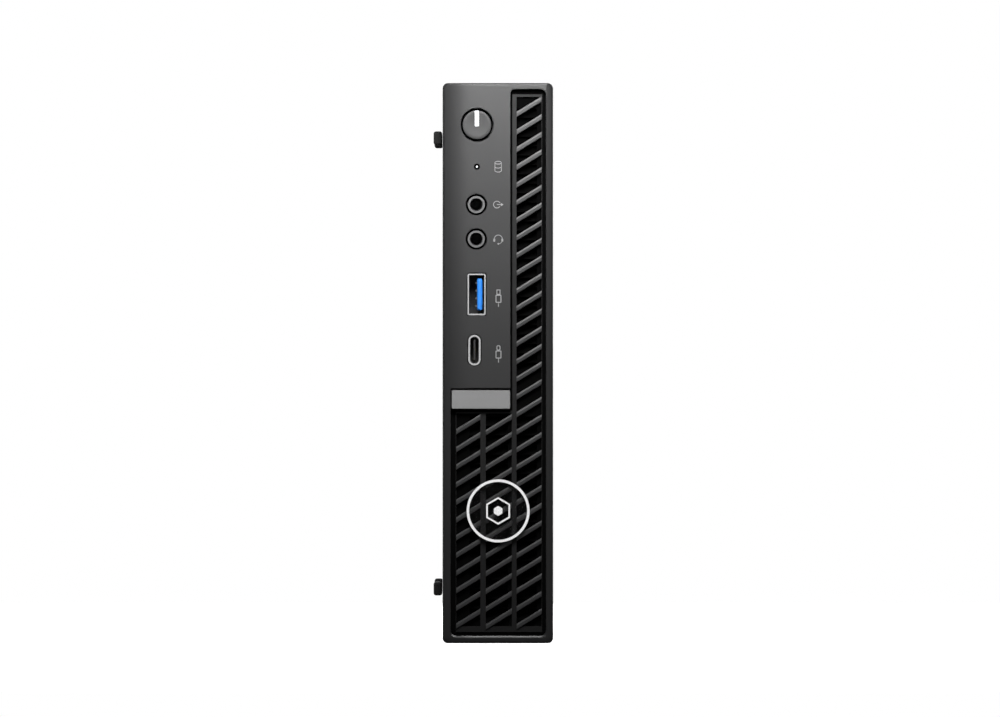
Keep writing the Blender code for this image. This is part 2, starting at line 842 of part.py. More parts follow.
def thumbscrew():
    """The screw that locks the cover: a ribbed head with a cross slot, and its captive washer."""
    washer_front = BACK + 0.1 * MM
    washer_back = washer_front + WASHER_THICKNESS
    head_front = washer_back + 0.15 * MM
    head_back = head_front + SCREW_HEAD_LENGTH
    centre = (SCREW_X, SCREW_Z)
    plate(
        "thumbscrew_washer",
        [circle(*centre, 3.4 * MM), circle(*centre, SCREW_SHANK + GAP)],
        "Y",
        washer_front,
        washer_back,
        steel(),
    )
    teeth = 24
    ribbed = [
        point
        for tooth in range(teeth)
        for point in (
            circle(*centre, SCREW_HEAD, 2 * teeth)[2 * tooth],
            circle(*centre, SCREW_HEAD - 0.3 * MM, 2 * teeth)[2 * tooth + 1],
        )
    ]
    screw = plate("thumbscrew", [ribbed], "Y", head_front, head_back, steel())
    shank = rod(
        "thumbscrew_shank",
        (SCREW_X, TRAY_BACK - 4.0 * MM, SCREW_Z),
        (SCREW_X, head_front + SHEET, SCREW_Z),
        SCREW_SHANK,
        None,
        16,
    )
    join(screw, shank)
    for number, (width, height) in enumerate(((1.0 * MM, 5.0 * MM), (5.0 * MM, 1.0 * MM))):
        slot = plate(
            f"thumbscrew_slot_{number}",
            [centred(*centre, width, height)],
            "Y",
            head_back - 1.2 * MM,
            head_back + SHEET,
        )
        cut(screw, slot)


def feet():
    """Four rubber strips on the tray's base, for use lying flat."""
    for side, along in zip(("front", "rear"), FOOT_Y):
        for end, up in zip(("upper", "lower"), FOOT_Z):
            pad = block(
                f"foot_{side}_{end}",
                (LEFT - FOOT_HEIGHT, along - FOOT_LENGTH / 2, up - FOOT_WIDTH / 2),
                (LEFT - 0.1 * MM, along + FOOT_LENGTH / 2, up + FOOT_WIDTH / 2),
                rubber(),
            )
            bevel(pad, 0.7 * MM, 2)


# ---------------------------------------------------------------- board


def motherboard():
    """The board, stepped in at the upper rear corner and along the rear half of its lower edge."""
    (front, rear), (low, high) = BOARD_Y, BOARD_Z
    step, notch = 1.0 * MM, (14.0 * MM, 3.0 * MM)
    outline = [
        (front, low),
        (front / 2 + rear / 2, low),
        (front / 2 + rear / 2, low + step),
        (rear, low + step),
        (rear, high - notch[1]),
        (rear - notch[0], high - notch[1]),
        (rear - notch[0], high),
        (front, high),
    ]
    plate("motherboard", [outline], "X", BOARD_TOP - BOARD_THICKNESS, BOARD_TOP, circuit_board())


def on_board(name, low, high, height, finish, lift=GAP):
    """A block that stands on the board. low and high are (y, z)."""
    bottom = BOARD_TOP + lift
    return block(name, (bottom, *low), (bottom + height, *high), finish)


def square_at(along, up, size):
    half = size / 2
    return (along - half, up - half), (along + half, up + half)


def processor_group():
    """Socket frame, processor with its lid, and the finned heat sink that four screws hold down."""
    socket = on_board("cpu_socket", *square_at(CHIP_Y, CHIP_Z, 44.0 * MM), 3.4 * MM, chip_black())
    well = [centred(CHIP_Y, CHIP_Z, 38.4 * MM, 38.4 * MM)]
    cut(socket, plate("socket_well", well, "X", BOARD_TOP + 2.2 * MM, 0.0))
    chip = on_board(
        "processor", *square_at(CHIP_Y, CHIP_Z, 37.5 * MM), 1.2 * MM, circuit_board(), 2.5 * MM
    )
    lid_bottom = BOARD_TOP + 3.2 * MM
    join(
        chip,
        block(
            "processor_lid",
            (lid_bottom, CHIP_Y - 15.5 * MM, CHIP_Z - 15.5 * MM),
            (BOARD_TOP + 6.0 * MM, CHIP_Y + 15.5 * MM, CHIP_Z + 15.5 * MM),
        ),
    )
    heat_sink()


def heat_sink():
    base_bottom = BOARD_TOP + 6.3 * MM
    base_top = base_bottom + 3.6 * MM
    fin_top = 14.8 * MM
    fin = 1.6 * MM
    pitch = (SINK_Z[1] - SINK_Z[0] - fin) / (SINK_FINS - 1)
    comb = [(base_bottom, SINK_Z[0]), (base_bottom, SINK_Z[1])]
    for index in reversed(range(SINK_FINS)):
        low = SINK_Z[0] + index * pitch
        comb += [(fin_top, low + fin), (fin_top, low)]
        if index:
            comb += [(base_top, low), (base_top, low - pitch + fin)]
    sink = plate("heat_sink", [comb], "Y", *SINK_Y, aluminium())
    for number, (along, up) in enumerate(sink_screw_places(), 1):
        room = block(
            f"sink_screw_room_{number}",
            (base_top - GAP, along - SINK_CORNER, up - SINK_CORNER),
            (fin_top + SHEET, along + SINK_CORNER, up + SINK_CORNER),
        )
        cut(sink, room)
        hole = rod(
            f"sink_screw_hole_{number}",
            (base_bottom - SHEET, along, up),
            (base_top, along, up),
            1.9 * MM,
            None,
            12,
        )
        cut(sink, hole)
        screw = rod(
            f"heat_sink_screw_{number}",
            (base_top + 0.2 * MM, along, up),
            (base_top + 3.2 * MM, along, up),
            3.2 * MM,
            steel(),
            16,
        )
        shank = rod(
            f"sink_screw_shank_{number}",
            (BOARD_TOP + GAP, along, up),
            (base_top + SHEET, along, up),
            1.5 * MM,
            None,
            12,
        )
        join(screw, shank)


def sink_screw_places():
    inset = 5.0 * MM
    return [
        (along, up)
        for along in (SINK_Y[0] + inset, SINK_Y[1] - inset)
        for up in (SINK_Z[0] + inset, SINK_Z[1] - inset)
    ]


def blower():
    """A flat blower: a housing with a round inlet and an outlet towards the heat sink, and its wheel."""
    bottom, top = -9.6 * MM, 14.6 * MM
    low_y, high_y = FAN_Y - 31.0 * MM, SINK_Y[0] - 1.0 * MM
    low_z, high_z = FAN_Z - 31.0 * MM, FAN_Z + 31.0 * MM
    wall = 1.4 * MM
    housing = block("blower_housing", (bottom, low_y, low_z), (top, high_y, high_z), dark_plastic())
    chamber = rod(
        "blower_chamber",
        (bottom + wall, FAN_Y, FAN_Z),
        (top - wall, FAN_Y, FAN_Z),
        FAN_RADIUS + 4.0 * MM,
        None,
        40,
    )
    cut(housing, chamber)
    outlet = block(
        "blower_outlet",
        (bottom + wall, FAN_Y + 2 * MM, FAN_Z - 2 * MM),
        (top - wall, high_y + SHEET, high_z - wall),
    )
    cut(housing, outlet)
    inlet = rod(
        "blower_inlet",
        (top - 2 * wall, FAN_Y, FAN_Z),
        (top + SHEET, FAN_Y, FAN_Z),
        20.0 * MM,
        None,
        36,
    )
    cut(housing, inlet)
    spindle = rod(
        "blower_spindle",
        (bottom + wall / 2, FAN_Y, FAN_Z),
        (bottom + 5.0 * MM, FAN_Y, FAN_Z),
        1.5 * MM,
        None,
        12,
    )
    join(housing, spindle)
    fan_rotor(bottom + wall + 0.8 * MM, top - wall - 1.2 * MM)


def fan_rotor(bottom, top):
    """The blower's wheel: a cup hub, a floor disc and upright blades leaning back."""
    centre = (FAN_Y, FAN_Z)
    floor_top = bottom + 1.2 * MM
    inside = bottom + 0.6 * MM
    wheel = rod("fan_rotor", (bottom, *centre), (floor_top, *centre), FAN_RADIUS, dark_plastic(), 40)
    hub = rod("fan_hub", (inside, *centre), (top - 3.0 * MM, *centre), 11.0 * MM, None, 32)
    join(wheel, hub)
    join(wheel, plate("fan_blades", [fan_blade(index) for index in range(FAN_BLADES)], "X", inside, top))
    bore = rod("fan_bore", (bottom - SHEET, *centre), (bottom + 4.5 * MM, *centre), 1.9 * MM, None, 16)
    cut(wheel, bore)
    set_origin(wheel, (bottom, *centre))


def fan_blade(index):
    """The outline of one blade, which leans back from the hub side to the rim."""
    angle = 2 * math.pi * index / FAN_BLADES
    lean = angle + 0.16
    half = 0.45 * MM
    middle = Vector((FAN_Y, FAN_Z))
    start = middle + Vector((math.cos(angle), math.sin(angle))) * 16.0 * MM
    end = middle + Vector((math.cos(lean), math.sin(lean))) * (FAN_RADIUS - 0.4 * MM)
    across = Vector((-math.sin(angle), math.cos(angle))) * half
    return [tuple(point) for point in (start - across, end - across, end + across, start + across)]


def set_origin(obj, place):
    """Moves an object's origin to a place in the world and leaves its shape where it is."""
    target = Matrix.Translation(Vector(place)) @ obj.matrix_world.to_3x3().to_4x4()
    obj.data.transform(target.inverted() @ obj.matrix_world)
    obj.matrix_world = target


def memory():
    """Two notebook memory modules, one above the other and a step apart, in their edge sockets."""
    memory_module("lower", 4.0 * MM, 0.0)
    memory_module("upper", 8.4 * MM, MEMORY_STEP)


def memory_module(name, height, shift):
    """One module at a height over the board, with its socket and its four chips."""
    low, high = MEMORY_Z
    front, edge = MEMORY_FRONT + shift, MEMORY_EDGE + shift
    middle = BOARD_TOP + height
    socket = on_board(
        f"memory_socket_{name}",
        (edge, low - 1.5 * MM),
        (edge + 5.0 * MM, high + 1.5 * MM),
        height + 1.6 * MM,
        chip_black(),
    )
    slot = block(
        f"memory_slot_{name}",
        (middle - 0.9 * MM, edge - SHEET, low - GAP),
        (middle + 0.9 * MM, edge + 3.2 * MM, high + GAP),
    )
    cut(socket, slot)
    module = block(
        f"memory_module_{name}",
        (middle - 0.6 * MM, front, low),
        (middle + 0.6 * MM, edge + 2.6 * MM, high),
        circuit_board(),
    )
    for chip in range(4):
        start = low + 4.0 * MM + chip * 16.6 * MM
        package = block(
            f"memory_chip_{name}_{chip}",
            (middle + 0.4 * MM, front + 5.0 * MM, start),
            (middle + 1.4 * MM, front + 19.0 * MM, start + 11.0 * MM),
        )
        join(module, package)


def storage_cards():
    """The slim solid state drive and the wireless card, each in an edge connector."""
    for name, low, high, length in (
        ("solid_state_drive", 84.5 * MM, 106.5 * MM, 80.0 * MM),
        ("wireless_card", 112.0 * MM, 134.0 * MM, 30.0 * MM),
    ):
        start = -22.0 * MM
        card = block(
            name,
            (BOARD_TOP + 2.4 * MM, start, low),
            (BOARD_TOP + 3.2 * MM, start + length, high),
            circuit_board(),
        )
        package = block(
            name + "_package",
            (BOARD_TOP + 3.0 * MM, start + 8.0 * MM, low + 2.0 * MM),
            (BOARD_TOP + 4.6 * MM, start + length - 8.0 * MM, high - 2.0 * MM),
        )
        join(card, package)
        notch = circle(start + length, (low + high) / 2, 2.4 * MM, 16)
        cut(card, plate(name + "_notch", [notch], "X", BOARD_TOP, BOARD_TOP + 8.0 * MM))
        edge_connector(name, start, low, high)
    post_y, post_z = 58.0 * MM, 95.5 * MM
    rod(
        "solid_state_drive_screw",
        (BOARD_TOP + GAP, post_y, post_z),
        (BOARD_TOP + 4.2 * MM, post_y, post_z),
        1.6 * MM,
        steel(),
        12,
    )


def edge_connector(name, start, low, high):
    connector = on_board(
        name + "_connector",
        (start - 5.0 * MM, low - 1.0 * MM),
        (start + 3.0 * MM, high + 1.0 * MM),
        4.2 * MM,
        chip_black(),
    )
    slot = block(
        name + "_connector_slot",
        (BOARD_TOP + 2.0 * MM, start - GAP, low - GAP),
        (BOARD_TOP + 3.6 * MM, start + 5.0 * MM, high + GAP),
    )
    cut(connector, slot)


def small_board_parts():
    """Coin cell and holder, speaker, and the push switch behind the power button."""
    centre = (27.0 * MM, 124.0 * MM)
    holder = rod(
        "coin_cell_holder",
        (BOARD_TOP + GAP, *centre),
        (BOARD_TOP + 4.4 * MM, *centre),
        12.0 * MM,
        chip_black(),
        28,
    )
    well = rod("coin_cell_well", (BOARD_TOP + 1.6 * MM, *centre), (0.0, *centre), 10.3 * MM, None, 28)
    cut(holder, well)
    rod(
        "coin_cell",
        (BOARD_TOP + 1.9 * MM, *centre),
        (BOARD_TOP + 5.1 * MM, *centre),
        10.0 * MM,
        steel(),
        28,
    )
    speaker = on_board("speaker", (49.0 * MM, 148.0 * MM), (67.0 * MM, 164.0 * MM), 7.0 * MM, dark_plastic())
    bevel(speaker, 1.0 * MM, 1)
    on_board(
        "power_switch",
        (SWITCH_FRONT, BUTTON_Z - 3.0 * MM),
        (-75.0 * MM, BUTTON_Z + 3.0 * MM),
        6.6 * MM,
        chip_black(),
    )


def drive_group():
    """The 2.5-inch drive in its sliding caddy, the bracket under it and the board connector behind it."""
    wall = 1.4 * MM
    low_x, high_x = DRIVE_X
    drive = block(
        "data_drive",
        (low_x, DRIVE_Y[0], DRIVE_Z[0]),
        (high_x, DRIVE_Y[1], DRIVE_Z[1]),
        aluminium(),
    )
    bevel(drive, 0.8 * MM, 1)
    caddy = open_box(
        "drive_caddy",
        (low_x - wall - GAP, DRIVE_Y[0] - wall - GAP, DRIVE_Z[0] - wall - GAP),
        (15.2 * MM, DRIVE_Y[1] - 12.0 * MM, DRIVE_Z[1] + wall + GAP),
        wall,
        ((1, 0, 0), (0, 1, 0)),
        dark_plastic(),
    )
    opening = rectangle(DRIVE_Y[0] + 12.0 * MM, DRIVE_Y[1] - 26.0 * MM, 107.0 * MM, 153.0 * MM, 3.0 * MM, 2)
    cut(caddy, plate("caddy_opening", [opening], "X", low_x - 4 * MM, low_x - GAP / 2))
    pull = block(
        "caddy_pull",
        (low_x, DRIVE_Y[0] - 6.0 * MM, 124.0 * MM),
        (low_x + 6.0 * MM, DRIVE_Y[0] - GAP - wall / 2, 136.0 * MM),
    )
    join(caddy, pull)
    bracket = open_box(
        "drive_bracket",
        (BOARD_TOP + GAP, DRIVE_Y[0] + 30.0 * MM, 81.6 * MM),
        (low_x - wall - 2 * GAP, DRIVE_Y[1] - 16.0 * MM, 172.0 * MM),
        SHEET,
        ((-1, 0, 0), (0, 1, 0), (0, -1, 0)),
        steel(),
    )
    window = rectangle(-24.0 * MM, 18.0 * MM, 92.0 * MM, 162.0 * MM, 3.0 * MM, 2)
    cut(bracket, plate("bracket_window", [window], "X", 0.0, low_x))
    connector = on_board(
        "drive_connector",
        (DRIVE_Y[1] + GAP, 108.0 * MM),
        (DRIVE_Y[1] + 6.0 * MM, 152.0 * MM),
        DRIVE_X[1] - BOARD_TOP - 2.0 * MM,
        chip_black(),
    )
    bevel(connector, 0.4 * MM, 1)


def inner_leads():
    """The fan's lead and the wireless aerial's lead, both held down along their way."""
    level = BOARD_TOP + 1.6 * MM
    fan_points = (
        (level, -12.0 * MM, 78.4 * MM),
        (level, 4.0 * MM, 79.6 * MM),
        (level, 20.0 * MM, 78.8 * MM),
        (level, 64.0 * MM, 79.4 * MM),
    )
    lead("fan_lead", smooth_path(fan_points, 4), 0.9 * MM, dark_plastic())
    level = BOARD_TOP + 1.2 * MM
    aerial_points = (
        (level, 9.6 * MM, 128.0 * MM),
        (level, 12.0 * MM, 138.0 * MM),
        (level, 30.0 * MM, 142.0 * MM),
        (level, 44.0 * MM, 170.0 * MM),
        (level, 80.0 * MM, 171.0 * MM),
    )
    lead("aerial_lead", smooth_path(aerial_points, 4), 0.6 * MM, chip_black())


# ---------------------------------------------------------------- rear ports


def port_shapes(name, across, up, width, height):
    """The hollow of a port and the tongue or pin left standing in it, as outlines in pairs."""
    if name == "power_inlet":
        return [circle(across, up, 3.4 * MM), circle(across, up, 0.6 * MM, 12)]
    if name == "network_port":
        jack = centred(across + 0.6 * MM, up, 8.4 * MM, 11.8 * MM)
        left = jack[0][0]
        notch = [(left, up + 3.0 * MM), (left - 2.4 * MM, up + 3.0 * MM)]
        notch += [(left - 2.4 * MM, up - 3.0 * MM), (left, up - 3.0 * MM)]
        return [[jack[0], jack[1], jack[2], jack[3], *notch]]
    if name.startswith("rear_usb"):
        shapes = []
        for offset in (-3.7 * MM, 3.7 * MM):
            middle = across + offset
            shapes.append(centred(middle, up, 4.9 * MM, 12.4 * MM))
            shapes.append(centred(middle + 0.9 * MM, up, 1.6 * MM, 10.2 * MM))
        return shapes
    corner = 1.4 * MM
    outer = centred(across, up, width - 1.2 * MM, height - 1.2 * MM)
    (left, bottom), (right, _), (_, top), _ = outer
    if name == "video_port":
        sides = [(left, bottom + corner), (left + corner, bottom), (right, bottom)]
        sides += [(right, top), (left + corner, top), (left, top - corner)]
    else:
        sides = [(left, bottom + corner), (left + corner, bottom), (right, bottom), (right, top), (left, top)]
    return [sides, centred(across, up, 1.3 * MM, height - 5.0 * MM)]


def rear_port(name, across, up, width, height):
    """One port body against the back wall, with its hollow and tongue."""
    inside = {"power_inlet": 12.0, "network_port": 20.0}.get(name, 15.0) * MM
    finish = dark_plastic() if name == "power_inlet" else port_steel()
    back = TRAY_BACK + 0.2 * MM
    body = block(
        name,
        (across - width / 2, back - inside, up - height / 2),
        (across + width / 2, back, up + height / 2),
        finish,
    )
    hollow_depth = min(inside - 2.0 * MM, 12.0 * MM)
    shapes = port_shapes(name, across, up, width, height)
    cut(body, plate(name + "_hollow", shapes, "Y", back - hollow_depth, back + SHEET))


def build():
    clear_scene()
    for collection in (PARTS, CUTTERS):
        bpy.context.scene.collection.children.link(collection)
    front_bezel()
    grille_insert()
    name_plate()
    badge()
    power_button()
    activity_light()
    audio_jack("line_out_jack", LINE_OUT_Z)
    audio_jack("headset_jack", HEADSET_Z)
    front_usb_a()
    front_usb_c()
    chassis_tray()
    side_cover()
    thumbscrew()
    feet()
    motherboard()
    processor_group()
    blower()
    memory()
    storage_cards()
    small_board_parts()
    drive_group()
    inner_leads()
    for port in rear_ports():
        rear_port(*port)


build()
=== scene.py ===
"""The looks of the upright mini computer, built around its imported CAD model. Metres, +Z up."""

import json
import math

import bmesh
import bpy
from mathutils import Matrix, Vector

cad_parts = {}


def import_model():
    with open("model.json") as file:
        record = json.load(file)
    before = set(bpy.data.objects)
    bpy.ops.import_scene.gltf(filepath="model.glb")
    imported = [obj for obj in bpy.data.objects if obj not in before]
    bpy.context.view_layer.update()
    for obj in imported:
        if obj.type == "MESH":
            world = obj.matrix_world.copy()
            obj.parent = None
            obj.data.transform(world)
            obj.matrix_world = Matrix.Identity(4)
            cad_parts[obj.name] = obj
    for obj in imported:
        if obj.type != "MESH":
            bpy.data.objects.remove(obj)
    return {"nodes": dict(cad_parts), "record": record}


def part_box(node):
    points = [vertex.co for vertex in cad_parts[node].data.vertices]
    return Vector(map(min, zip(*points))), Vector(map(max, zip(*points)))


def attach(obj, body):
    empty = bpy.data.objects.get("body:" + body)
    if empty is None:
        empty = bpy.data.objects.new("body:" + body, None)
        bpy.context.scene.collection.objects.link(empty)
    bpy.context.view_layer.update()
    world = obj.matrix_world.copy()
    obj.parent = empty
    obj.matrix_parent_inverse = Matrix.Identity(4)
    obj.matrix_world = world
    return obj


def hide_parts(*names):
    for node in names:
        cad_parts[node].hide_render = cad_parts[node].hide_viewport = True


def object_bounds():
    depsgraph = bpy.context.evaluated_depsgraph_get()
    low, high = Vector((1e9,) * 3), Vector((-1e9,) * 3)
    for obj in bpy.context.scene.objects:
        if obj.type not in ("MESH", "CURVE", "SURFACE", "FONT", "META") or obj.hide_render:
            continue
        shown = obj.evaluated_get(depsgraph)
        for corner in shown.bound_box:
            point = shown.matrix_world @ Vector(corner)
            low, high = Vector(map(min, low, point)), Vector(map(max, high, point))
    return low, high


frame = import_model()
CAD_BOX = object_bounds()

MM = 0.001

# ---------------- places


def centre(low, high):
    """The middle of a box as seen from the front."""
    return (low.x + high.x) / 2, (low.z + high.z) / 2


BEZEL_LOW, BEZEL_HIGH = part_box("front_bezel")
INSERT_LOW, INSERT_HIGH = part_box("grille_insert")
NAME_LOW, NAME_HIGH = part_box("name_plate")
BUTTON_LOW, BUTTON_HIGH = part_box("power_button")
LED_LOW, LED_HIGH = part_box("activity_light_pipe")
TRAY_LOW, TRAY_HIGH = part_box("chassis_tray")
USB_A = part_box("front_usb_a_shell")
USB_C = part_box("front_usb_c_shell")

FRONT = BEZEL_LOW.y
FACE_BACK = FRONT + 4.0 * MM
LEFT, RIGHT = BEZEL_LOW.x, BEZEL_HIGH.x
HEIGHT = BEZEL_HIGH.z
CASE_CORNER = 1.8 * MM

BUTTON_X, BUTTON_Z = centre(BUTTON_LOW, BUTTON_HIGH)
LED_Z = centre(LED_LOW, LED_HIGH)[1]
JACK_X = -7.0 * MM
JACKS = [(centre(*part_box(name))[1], name) for name in ("line_out_jack", "headset_jack")]

# The front face: its fall at the left, its lip at the right and its chin under the mouth.
CROWN_START = -8.0 * MM
CROWN_REACH = 10.0 * MM
CROWN_DROP = 1.5 * MM
CROWN_POWER = 2.1
LIP_START = 15.7 * MM
LIP_REACH = 2.3 * MM
LIP_DROP = 0.6 * MM
LIP_POWER = 1.25
CHIN_START = 2.0 * MM
CHIN_DROP = 0.35 * MM
CHIN_POWER = 1.5
CROWN_DEPTH = 2.0 * MM
CROWN_HOLD = 1.6
FLAT_EDGE = 0.4 * MM

# The L-shaped mouth, and the slope along its bottom edge.
MOUTH_LEFT, MOUTH_RIGHT = -15.4 * MM, 15.7 * MM
MOUTH_BOTTOM, MOUTH_TOP = 2.4 * MM, 180.0 * MM
COLUMN_LEFT = NAME_HIGH.x
SHOULDER = NAME_HIGH.z + 0.55 * MM
MOUTH_CORNER = 2.0 * MM
NOTCH_CORNER = 1.4 * MM
SILL_DEPTH = 0.62 * MM
SILL_SLOPE = 0.42

# The grille: each column's left and right side, count of slats, first slat and top of its window.
PITCH = 5.739 * MM
SLAT_HEIGHT = 1.95 * MM
SLOPE = 0.61
COLUMN_FOOT = 5.5 * MM
FRAME_SETBACK = 0.7 * MM
GRILLE_COLUMNS = (
    (-13.5 * MM, -5.7 * MM, 12, 4.6 * MM, 74.6 * MM),
    (-3.9 * MM, 4.5 * MM, 12, 4.3 * MM, 74.6 * MM),
    (6.1 * MM, 14.2 * MM, 30, 4.4 * MM, 177.5 * MM),
)

# The liner, a near-black sheet of painted shade, in mm: each sheet's left, right, top and windows, and the
# fields of vanes behind them.
LINER_SHEETS = (
    (4.0, 14.6, 178.6, ((5.9, 12.7, 88.3, 173.7), (5.9, 12.7, 8.3, 73.7))),
    (-14.6, 3.9, 82.0, ((-9.2, 3.3, 8.3, 73.7),)),
)
LINER_VANES = ((5.7, 12.9, 88.1, 173.8), (-9.4, 12.9, 8.1, 73.8))
LINER_BOTTOM = 3.4 * MM
VANE_FRONT, VANE_BACK = -84.6 * MM, -81.4 * MM
VANE_THICKNESS = 0.25 * MM
VANE_PITCH = 3.0 * MM

# Rolled front edges: pairs of a share of the wall and a drop in mm, for the outer half of the wall.
PORT_ROLL = ((0.0, 0.06), (0.12, 0.0))
JACK_ROLL = ((0.0, 0.1), (0.07, 0.0))
BADGE_ROLL = ((0.0, 0.14), (0.03, 0.04), (0.07, 0.0))

PORT_DEPTH = 12.0 * MM
SIGN_LINE = 0.22 * MM

# ---------------- materials


def new_material(name):
    made = bpy.data.materials.new(name)
    made.use_nodes = True
    return made, made.node_tree, made.node_tree.nodes["Principled BSDF"]


def noise(tree, scale, detail=2.0, stretch=(1, 1, 1)):
    """Noise over the object's own space. scale is in cycles per metre."""
    place_node = tree.nodes.new("ShaderNodeTexCoord")
    mapping = tree.nodes.new("ShaderNodeMapping")
    mapping.inputs["Scale"].default_value = stretch
    texture = tree.nodes.new("ShaderNodeTexNoise")
    texture.inputs["Scale"].default_value = scale
    texture.inputs["Detail"].default_value = detail
    texture.inputs["Roughness"].default_value = 0.55
    tree.links.new(place_node.outputs["Object"], mapping.inputs["Vector"])
    tree.links.new(mapping.outputs["Vector"], texture.inputs["Vector"])
    return texture.outputs["Fac"]


def spread(tree, value, low, high):
    """Maps the middle of a noise's range to a range of its own."""
    node = tree.nodes.new("ShaderNodeMapRange")
    node.inputs["From Min"].default_value = 0.3
    node.inputs["From Max"].default_value = 0.7
    node.inputs["To Min"].default_value = low
    node.inputs["To Max"].default_value = high
    tree.links.new(value, node.inputs["Value"])
    return node.outputs["Result"]


def blend_colours(tree, value, dark, light):
    ramp = tree.nodes.new("ShaderNodeValToRGB")
    for element, position, colour in zip(ramp.color_ramp.elements, (0.35, 0.65), (dark, light)):
        element.position = position
        element.color = (*colour, 1.0)
    tree.links.new(value, ramp.inputs["Fac"])
    return ramp.outputs["Color"]


def bump(tree, shader, value, distance, strength):
    node = tree.nodes.new("ShaderNodeBump")
    node.inputs["Distance"].default_value = distance
    node.inputs["Strength"].default_value = strength
    tree.links.new(value, node.inputs["Height"])
    tree.links.new(node.outputs["Normal"], shader.inputs["Normal"])


def finish(
    name, colour, roughness, metallic, grain, relief, strength, vary,
    stretch=(1, 1, 1), gloss=0.5, rough_vary=0.05,
):
    """A finish whose tone, gloss and relief all vary at the scale of its grain. relief is in mm."""
    made, tree, shader = new_material(name)
    cloud = noise(tree, 45.0, 4.0)
    fine = noise(tree, grain, 2.0, stretch)
    tone = tree.nodes.new("ShaderNodeMath")
    tone.operation = "ADD"
    half = tree.nodes.new("ShaderNodeMath")
    half.operation = "MULTIPLY"
    half.inputs[1].default_value = 0.5
    tree.links.new(cloud, tone.inputs[0])
    tree.links.new(fine, tone.inputs[1])
    tree.links.new(tone.outputs[0], half.inputs[0])
    dark, light_tone = ([channel * factor for channel in colour] for factor in (1 - vary, 1 + vary))
    mixed = blend_colours(tree, half.outputs[0], dark, light_tone)
    tree.links.new(mixed, shader.inputs["Base Color"])
    rough = spread(tree, fine, roughness - rough_vary, roughness + rough_vary)
    tree.links.new(rough, shader.inputs["Roughness"])
    shader.inputs["Metallic"].default_value = metallic
    shader.inputs["Specular IOR Level"].default_value = gloss
    bump(tree, shader, fine, relief * MM, strength)
    return made


def lit_plastic():
    """White plastic that glows, for the lights."""
    made, tree, shader = new_material("light_bar")
    cloud = noise(tree, 1500.0)
    glow = blend_colours(tree, cloud, (0.9, 0.93, 0.97), (1.0, 1.0, 1.0))
    tree.links.new(glow, shader.inputs["Base Color"])
    tree.links.new(glow, shader.inputs["Emission Color"])
    tree.links.new(spread(tree, cloud, 0.25, 0.35), shader.inputs["Roughness"])
    shader.inputs["Emission Strength"].default_value = 1.0
    return made


def smoked_film():
    """Clear plastic with a faint smoke, hardly there in front of the slats."""
    made, tree, shader = new_material("smoked_clear")
    cloud = noise(tree, 300.0)
    smoke = blend_colours(tree, cloud, (0.012, 0.012, 0.012), (0.02, 0.02, 0.021))
    tree.links.new(smoke, shader.inputs["Base Color"])
    tree.links.new(spread(tree, cloud, 0.04, 0.07), shader.inputs["Roughness"])
    shader.inputs["Alpha"].default_value = 0.07
    shader.inputs["Specular IOR Level"].default_value = 0.15
    made.surface_render_method = "BLENDED"
    return made


def board_finish():
    """Green solder mask over traces that run square to the board, with small pads."""
    made, tree, shader = new_material("circuit_board")
    place_node = tree.nodes.new("ShaderNodeTexCoord")
    swap = tree.nodes.new("ShaderNodeMapping")
    swap.inputs["Rotation"].default_value = (0.0, math.pi / 2, 0.0)
    tree.links.new(place_node.outputs["Object"], swap.inputs["Vector"])
    bricks = tree.nodes.new("ShaderNodeTexBrick")
    bricks.inputs["Scale"].default_value = 320.0
    bricks.inputs["Mortar Size"].default_value = 0.06
    bricks.inputs["Color1"].default_value = (0.008, 0.045, 0.02, 1.0)
    bricks.inputs["Color2"].default_value = (0.011, 0.058, 0.026, 1.0)
    bricks.inputs["Mortar"].default_value = (0.02, 0.1, 0.045, 1.0)
    tree.links.new(swap.outputs["Vector"], bricks.inputs["Vector"])
    tree.links.new(bricks.outputs["Color"], shader.inputs["Base Color"])
    fine = noise(tree, 900.0)
    tree.links.new(spread(tree, fine, 0.25, 0.42), shader.inputs["Roughness"])
    bump(tree, shader, bricks.outputs["Fac"], 0.03 * MM, 0.4)
    return made


# Each finish: name, colour, roughness, metallic, grain, relief in mm, its strength, variation of tone.
BEZEL = finish("bezel_plastic", (0.017, 0.017, 0.0175), 0.41, 0, 5200, 0.012, 0.2, 0.05)
CAP = finish("button_plastic", (0.02, 0.02, 0.0205), 0.38, 0, 5200, 0.01, 0.14, 0.05)
GRILLE = finish("grille_plastic", (0.02, 0.02, 0.0205), 0.39, 0, 4200, 0.012, 0.18, 0.08, gloss=0.6)
# A darker, duller copy of the grille plastic: painted shade on the set-back frame and ribs, and on the stems
# behind the badge and button.
SHADED_GRILLE = finish("grille_plastic_painted_shade", (0.0075, 0.0075, 0.0077), 0.5, 0, 4200, 0.012, 0.2, 0.1, gloss=0.25)
# A near-black matt finish: painted shade on the sheets, collars, backings and sleeves set behind the face.
PAINTED_SHADE_BLACK = finish("painted_shade_matt_black", (0.0012, 0.0012, 0.0012), 0.85, 0, 3000, 0.02, 0.3, 0.2, gloss=0.05)
SILVER = finish("silver_trim", (0.4, 0.4, 0.402), 0.26, 0.9, 2600, 0.002, 0.15, 0.04, (1, 14, 14), 0.5, 0.02)
BRIGHT = finish("badge_silver", (0.95, 0.95, 0.955), 0.19, 0.95, 2600, 0.002, 0.08, 0.03, rough_vary=0.02)
SMOKE = smoked_film()
LIGHT_BAR = lit_plastic()
STEEL_PORT = finish("port_metal", (0.68, 0.68, 0.685), 0.25, 0.95, 5200, 0.001, 0.04, 0.03, rough_vary=0.01)
JACK_RIM = finish("jack_rim", (0.2, 0.2, 0.202), 0.3, 0.9, 5200, 0.001, 0.04, 0.03, rough_vary=0.01)
